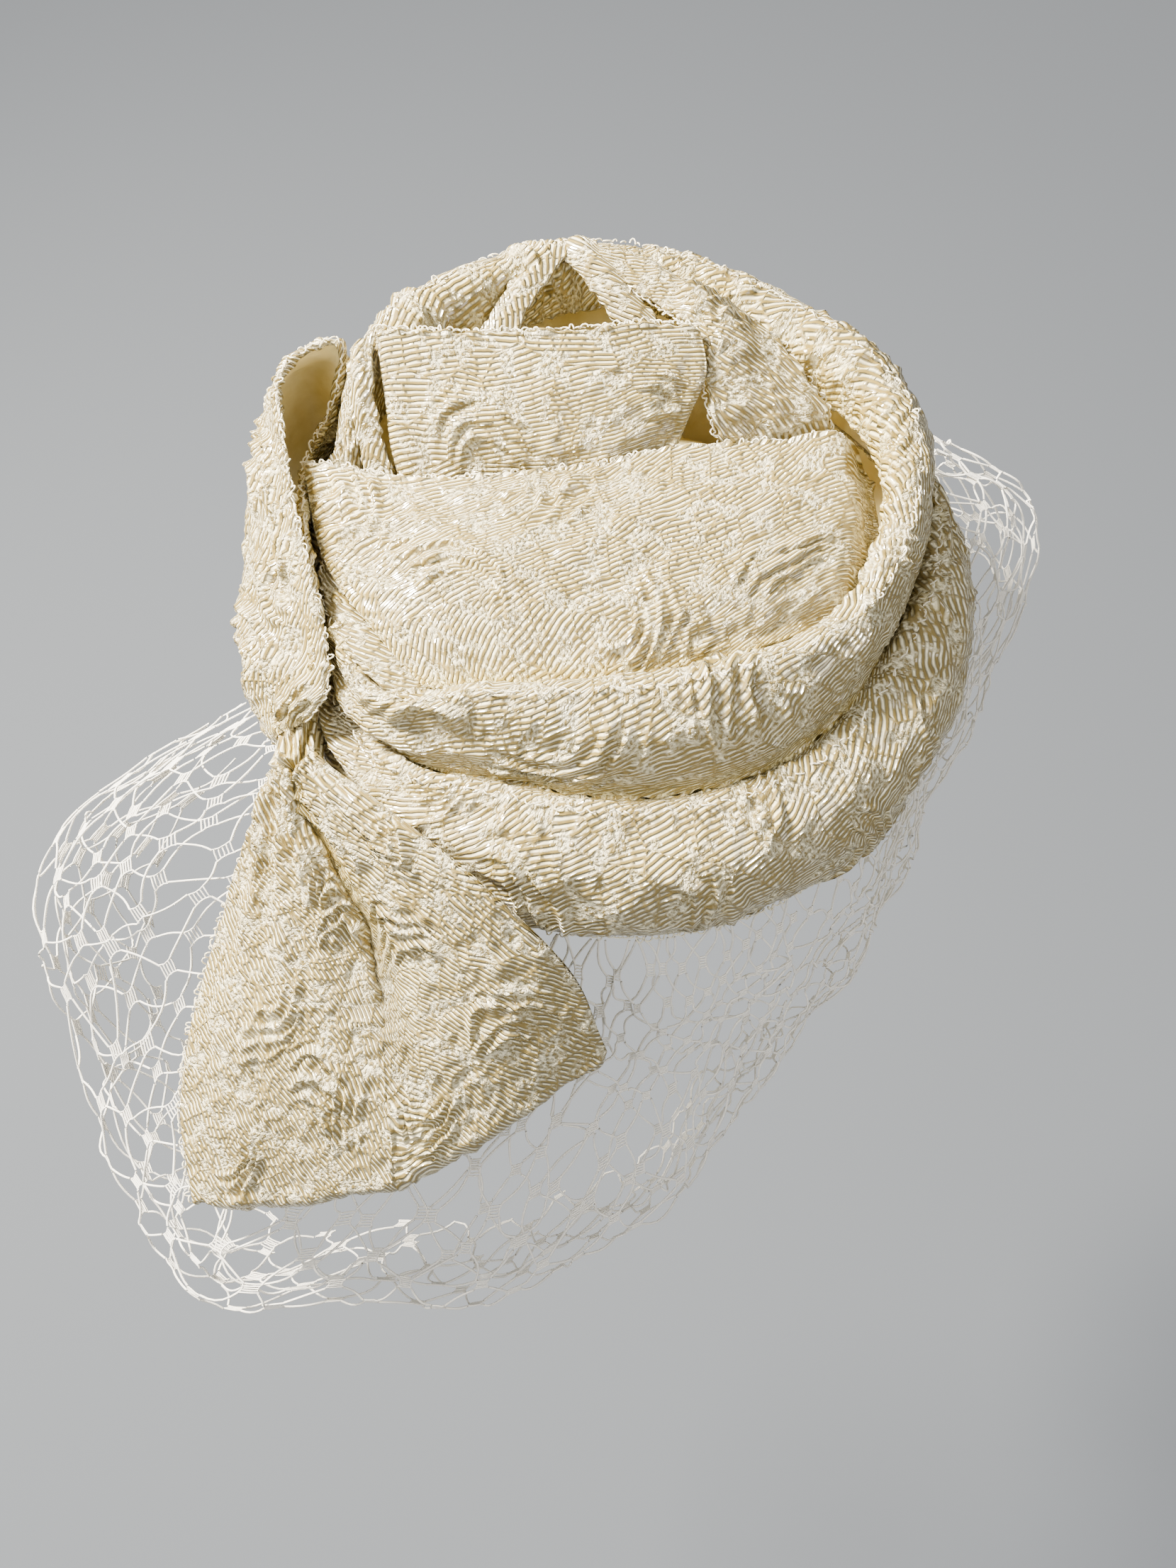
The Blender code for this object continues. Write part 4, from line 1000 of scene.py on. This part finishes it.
def bow_waist():
    """The gathered waist, along the bow's axis by s from -1 to 1 and round it by a.

    Its radius is r (0.82 + 0.26 s^2) (1 + 0.15 cos(9 a + wobble) + 0.05 cos(23 a - wobble)).
    """
    s, a = np.meshgrid(np.linspace(-1, 1, 44), np.arange(120) * 2 * math.pi / 120, indexing="ij")
    wobble = 1.6 * value_noise(s * 1.5 + 9, np.cos(a) * 2, 51)
    ridges = 1 + 0.15 * np.cos(9 * a + wobble) + 0.05 * np.cos(23 * a - wobble)
    ends = np.sqrt(np.clip(1 - np.clip((np.abs(s) - 0.9) / 0.1, 0, 1) ** 2, 0, 1))
    swell = (0.82 + 0.26 * s**2) * ridges * ends
    x = WAIST_CENTRE[0] + (WAIST_RADII[0] + 1.2) * swell * np.cos(a)
    z = WAIST_CENTRE[2] + WAIST_RADII[2] * swell * np.sin(a)
    y = WAIST_CENTRE[1] + (WAIST_RADII[1] + 1.5) * s
    points = np.stack([x, y, z], axis=-1)
    uv = np.stack([s * 9, a * 6], axis=-1).reshape(-1, 2)
    # Painted shade, golden, in the hollows between the gathers' ridges.
    hollow_shade = np.clip(0.2 - np.cos(9 * a + wobble), 0, 1).ravel().astype(np.float32)
    faces = loop_faces(*s.shape)[:, ::-1]
    piece = build("bow_waist_cloth", points.reshape(-1, 3), faces, uv, [silk], None, hollow_shade)
    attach(piece, "root")
    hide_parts("bow_waist")
    return piece


def cap_shell():
    """The foundation: an ellipse's arc and one a wall inside it, turned round the middle."""
    angles = np.linspace(math.pi / 2 - 0.006, 0, 40)
    lip = np.linspace(0, math.pi, 7)[1:-1]
    outer = np.stack([CAP_RADIUS * np.cos(angles), CAP_HEIGHT * np.sin(angles)], axis=1)
    inner = outer * [(CAP_RADIUS - CAP_WALL) / CAP_RADIUS, (CAP_HEIGHT - CAP_WALL) / CAP_HEIGHT]
    middle = CAP_RADIUS - CAP_WALL / 2
    edge = np.stack([middle + np.cos(lip) * CAP_WALL / 2, -np.sin(lip) * CAP_WALL / 2], axis=1)
    path = np.concatenate([outer, edge, inner[::-1]])
    turn = np.arange(180) * 2 * math.pi / 180
    wrinkle = 0.35 * value_noise(3 * np.cos(turn)[:, None] + 8, path[None, :, 1] / 7, 61)
    r = path[None, :, 0] * (1 + wrinkle / CAP_RADIUS * smooth(0, 12, path[None, :, 0]))
    points = np.stack(
        [r * np.cos(turn)[:, None], r * np.sin(turn)[:, None], np.broadcast_to(path[:, 1], r.shape)], axis=-1
    )
    index = np.arange(r.size).reshape(r.shape)
    after = np.roll(index, -1, axis=0)
    faces = np.stack([index[:, :-1], index[:, 1:], after[:, 1:], after[:, :-1]], axis=-1).reshape(-1, 4)
    caps = [index[:, 0], index[::-1, -1]]
    piece = build("cap_shell", points.reshape(-1, 3), faces, points.reshape(-1, 3)[:, :2], [plain], caps=caps)
    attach(piece, "root")
    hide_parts("cap")
    return piece


def ring_line(profile, place, lift):
    """A line round the hat at a place of its sections, pushed out along the section's normal."""
    azimuths = np.linspace(-180, 180, 361)
    sections = profile(azimuths)
    line = polar(azimuths, across_places(sections, np.array([place])))[:, 0]
    ahead = polar(azimuths, across_places(sections, np.array([place + 0.1])))[:, 0]
    behind = polar(azimuths, across_places(sections, np.array([place - 0.1])))[:, 0]
    out = unit(np.cross(np.gradient(line, axis=0), ahead - behind))
    out *= np.sign((out * [line[0, 0], line[0, 1], 0.0]).sum(axis=1)[:1, None])
    out *= np.sign((out[:, :2] * line[:, :2]).sum() + 1e-9)
    return line + out * lift, out


def sheet_edge(sheet, column):
    """One long edge of a sheet, and the direction away from it."""
    grid = sheet[0]
    out = grid_normals(grid)[1][:, column] * (1 if column else -1)
    return grid[:, column] + out * ROLL, out


def fan_line(sheet, share, until, lift):
    """A line down the fan at a share of its width, as far as a share of its length, and its normal."""
    grid, u, v = sheet
    row = int(share * (len(u) - 1))
    last = int(np.searchsorted(v, until * v[-1] / 2.06))
    normal, _ = grid_normals(grid)
    out = normal[row, :last] * np.sign(normal[row, last // 2, 2])
    return grid[row, :last] + out * lift, out


def face_veil():
    """Three layers of net: the whole veil, and a fuller one inside it at the left and the right."""
    threads, patches = [], []
    for first, last, cells, rows, inward, seed in (
        (VEIL[0][0], VEIL[-1][0] - 3, 30, 14, 0.0, 3),
        (-176, -62, 17, 13, 9.0, 4),
        (-20, 36, 7, 12, 7.0, 5),
    ):
        curves, knots = net_layer(first, last, cells, rows, inward, seed)
        threads.append(curves)
        flat = knots[1:].reshape(-1, 2)
        patches.append(knot_patches(flat[:, 0], flat[:, 1], inward, seed + 10))
    strands = tubes(np.concatenate(threads), STRAND_RADIUS)
    return join([strands, tubes(np.concatenate(patches), KNOT_RADIUS)])


bow_waist()
cap_shell()
points, faces = face_veil()
veil = build("net_veil", points, faces, points[:, :2], [net_thread])
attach(veil, "root")
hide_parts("veil")

lines = [
    (*ring_line(lower_profile, 0.12, 1.6), 1.6),
    (*ring_line(lower_profile, 3.0, 1.6), 2.6),
    (*ring_line(upper_profile, 3.0, 1.6), 2.2),
    (*ring_line(upper_profile, 4.0, 1.4), 2.6),
    (*sheet_edge(panel, -1), 1.3),
    (*sheet_edge(fold, -1), 1.2),
    (*sheet_edge(back_loop, -1), 1.4),
    (*sheet_edge(back_loop, 0), 1.8),
    (*sheet_edge(flap, 0), 1.4),
    (*sheet_edge(flap, -1), 1.6),
    (*fan_line(fan, 0.585, 0.5, 1.2), 1.5),
    (*fan_line(fan, 0.0, 1.0, 0.4), 1.8),
]
thread_loops(lines, picot)

# The floor is plain and pale, with some grey so that the white net stands out from it.
floor_mesh = bpy.data.meshes.new("floor")
reach, drop = 12.0, -0.5
floor_corners = [(x * reach, y * reach, drop) for x, y in ((-1, -1), (1, -1), (1, 1), (-1, 1))]
floor_mesh.from_pydata(floor_corners, [], [(0, 1, 2, 3)])
floor = bpy.data.objects.new("floor", floor_mesh)
bpy.context.scene.collection.objects.link(floor)
floor_finish, _, floor_shader = shader("floor_paper", 0.9)
floor_shader.inputs["Base Color"].default_value = linear("#4A4E54")
floor_shader.inputs["Emission Color"].default_value = (0.93, 0.96, 1.0, 1.0)
floor_shader.inputs["Emission Strength"].default_value = 0.28
floor_mesh.materials.append(floor_finish)


def area_light(name, place, size, power, colour):
    """A square soft light that looks at the hat."""
    lamp = bpy.data.lights.new(name, "AREA")
    lamp.size = size
    lamp.energy = power
    lamp.color = colour
    holder = bpy.data.objects.new(name, lamp)
    holder.location = place
    holder.rotation_mode = "QUATERNION"
    aim = Vector((0.0, -0.01, 0.02)) - Vector(place)
    holder.rotation_quaternion = aim.to_track_quat("-Z", "Y")
    bpy.context.scene.collection.objects.link(holder)
    return holder


area_light("key", (-0.68, 0.28, 0.76), 0.20, 108.0, (1.0, 0.93, 0.80))
area_light("fill", (0.9, -0.7, 0.8), 0.7, 9.0, (1.0, 0.97, 0.92))
area_light("front", (-0.8, -0.7, 1.0), 0.8, 11.0, (1.0, 0.98, 0.95))
world = bpy.data.worlds.new("studio")
world.use_nodes = True
world.node_tree.nodes["Background"].inputs[0].default_value = (0.93, 0.93, 0.92, 1.0)
world.node_tree.nodes["Background"].inputs[1].default_value = 0.30
bpy.context.scene.world = world

# The camera as worked out from the photo: above and in front, looking 60 degrees down. Its focal
# length and the picture's height are in pixels.
FOCAL_PIXELS = 1900.0
PICTURE_HEIGHT = 2212.0
camera = bpy.data.cameras.new("camera")
camera.sensor_fit = "VERTICAL"
camera.sensor_height = 36.0
camera.lens = FOCAL_PIXELS * camera.sensor_height / PICTURE_HEIGHT
camera.clip_start = 0.01
eye = bpy.data.objects.new("camera", camera)
eye.location = (-0.0097, -0.226, 0.324)
eye.rotation_euler = (math.radians(30.0), 0.0, 0.0)
bpy.context.scene.collection.objects.link(eye)
bpy.context.scene.camera = eye
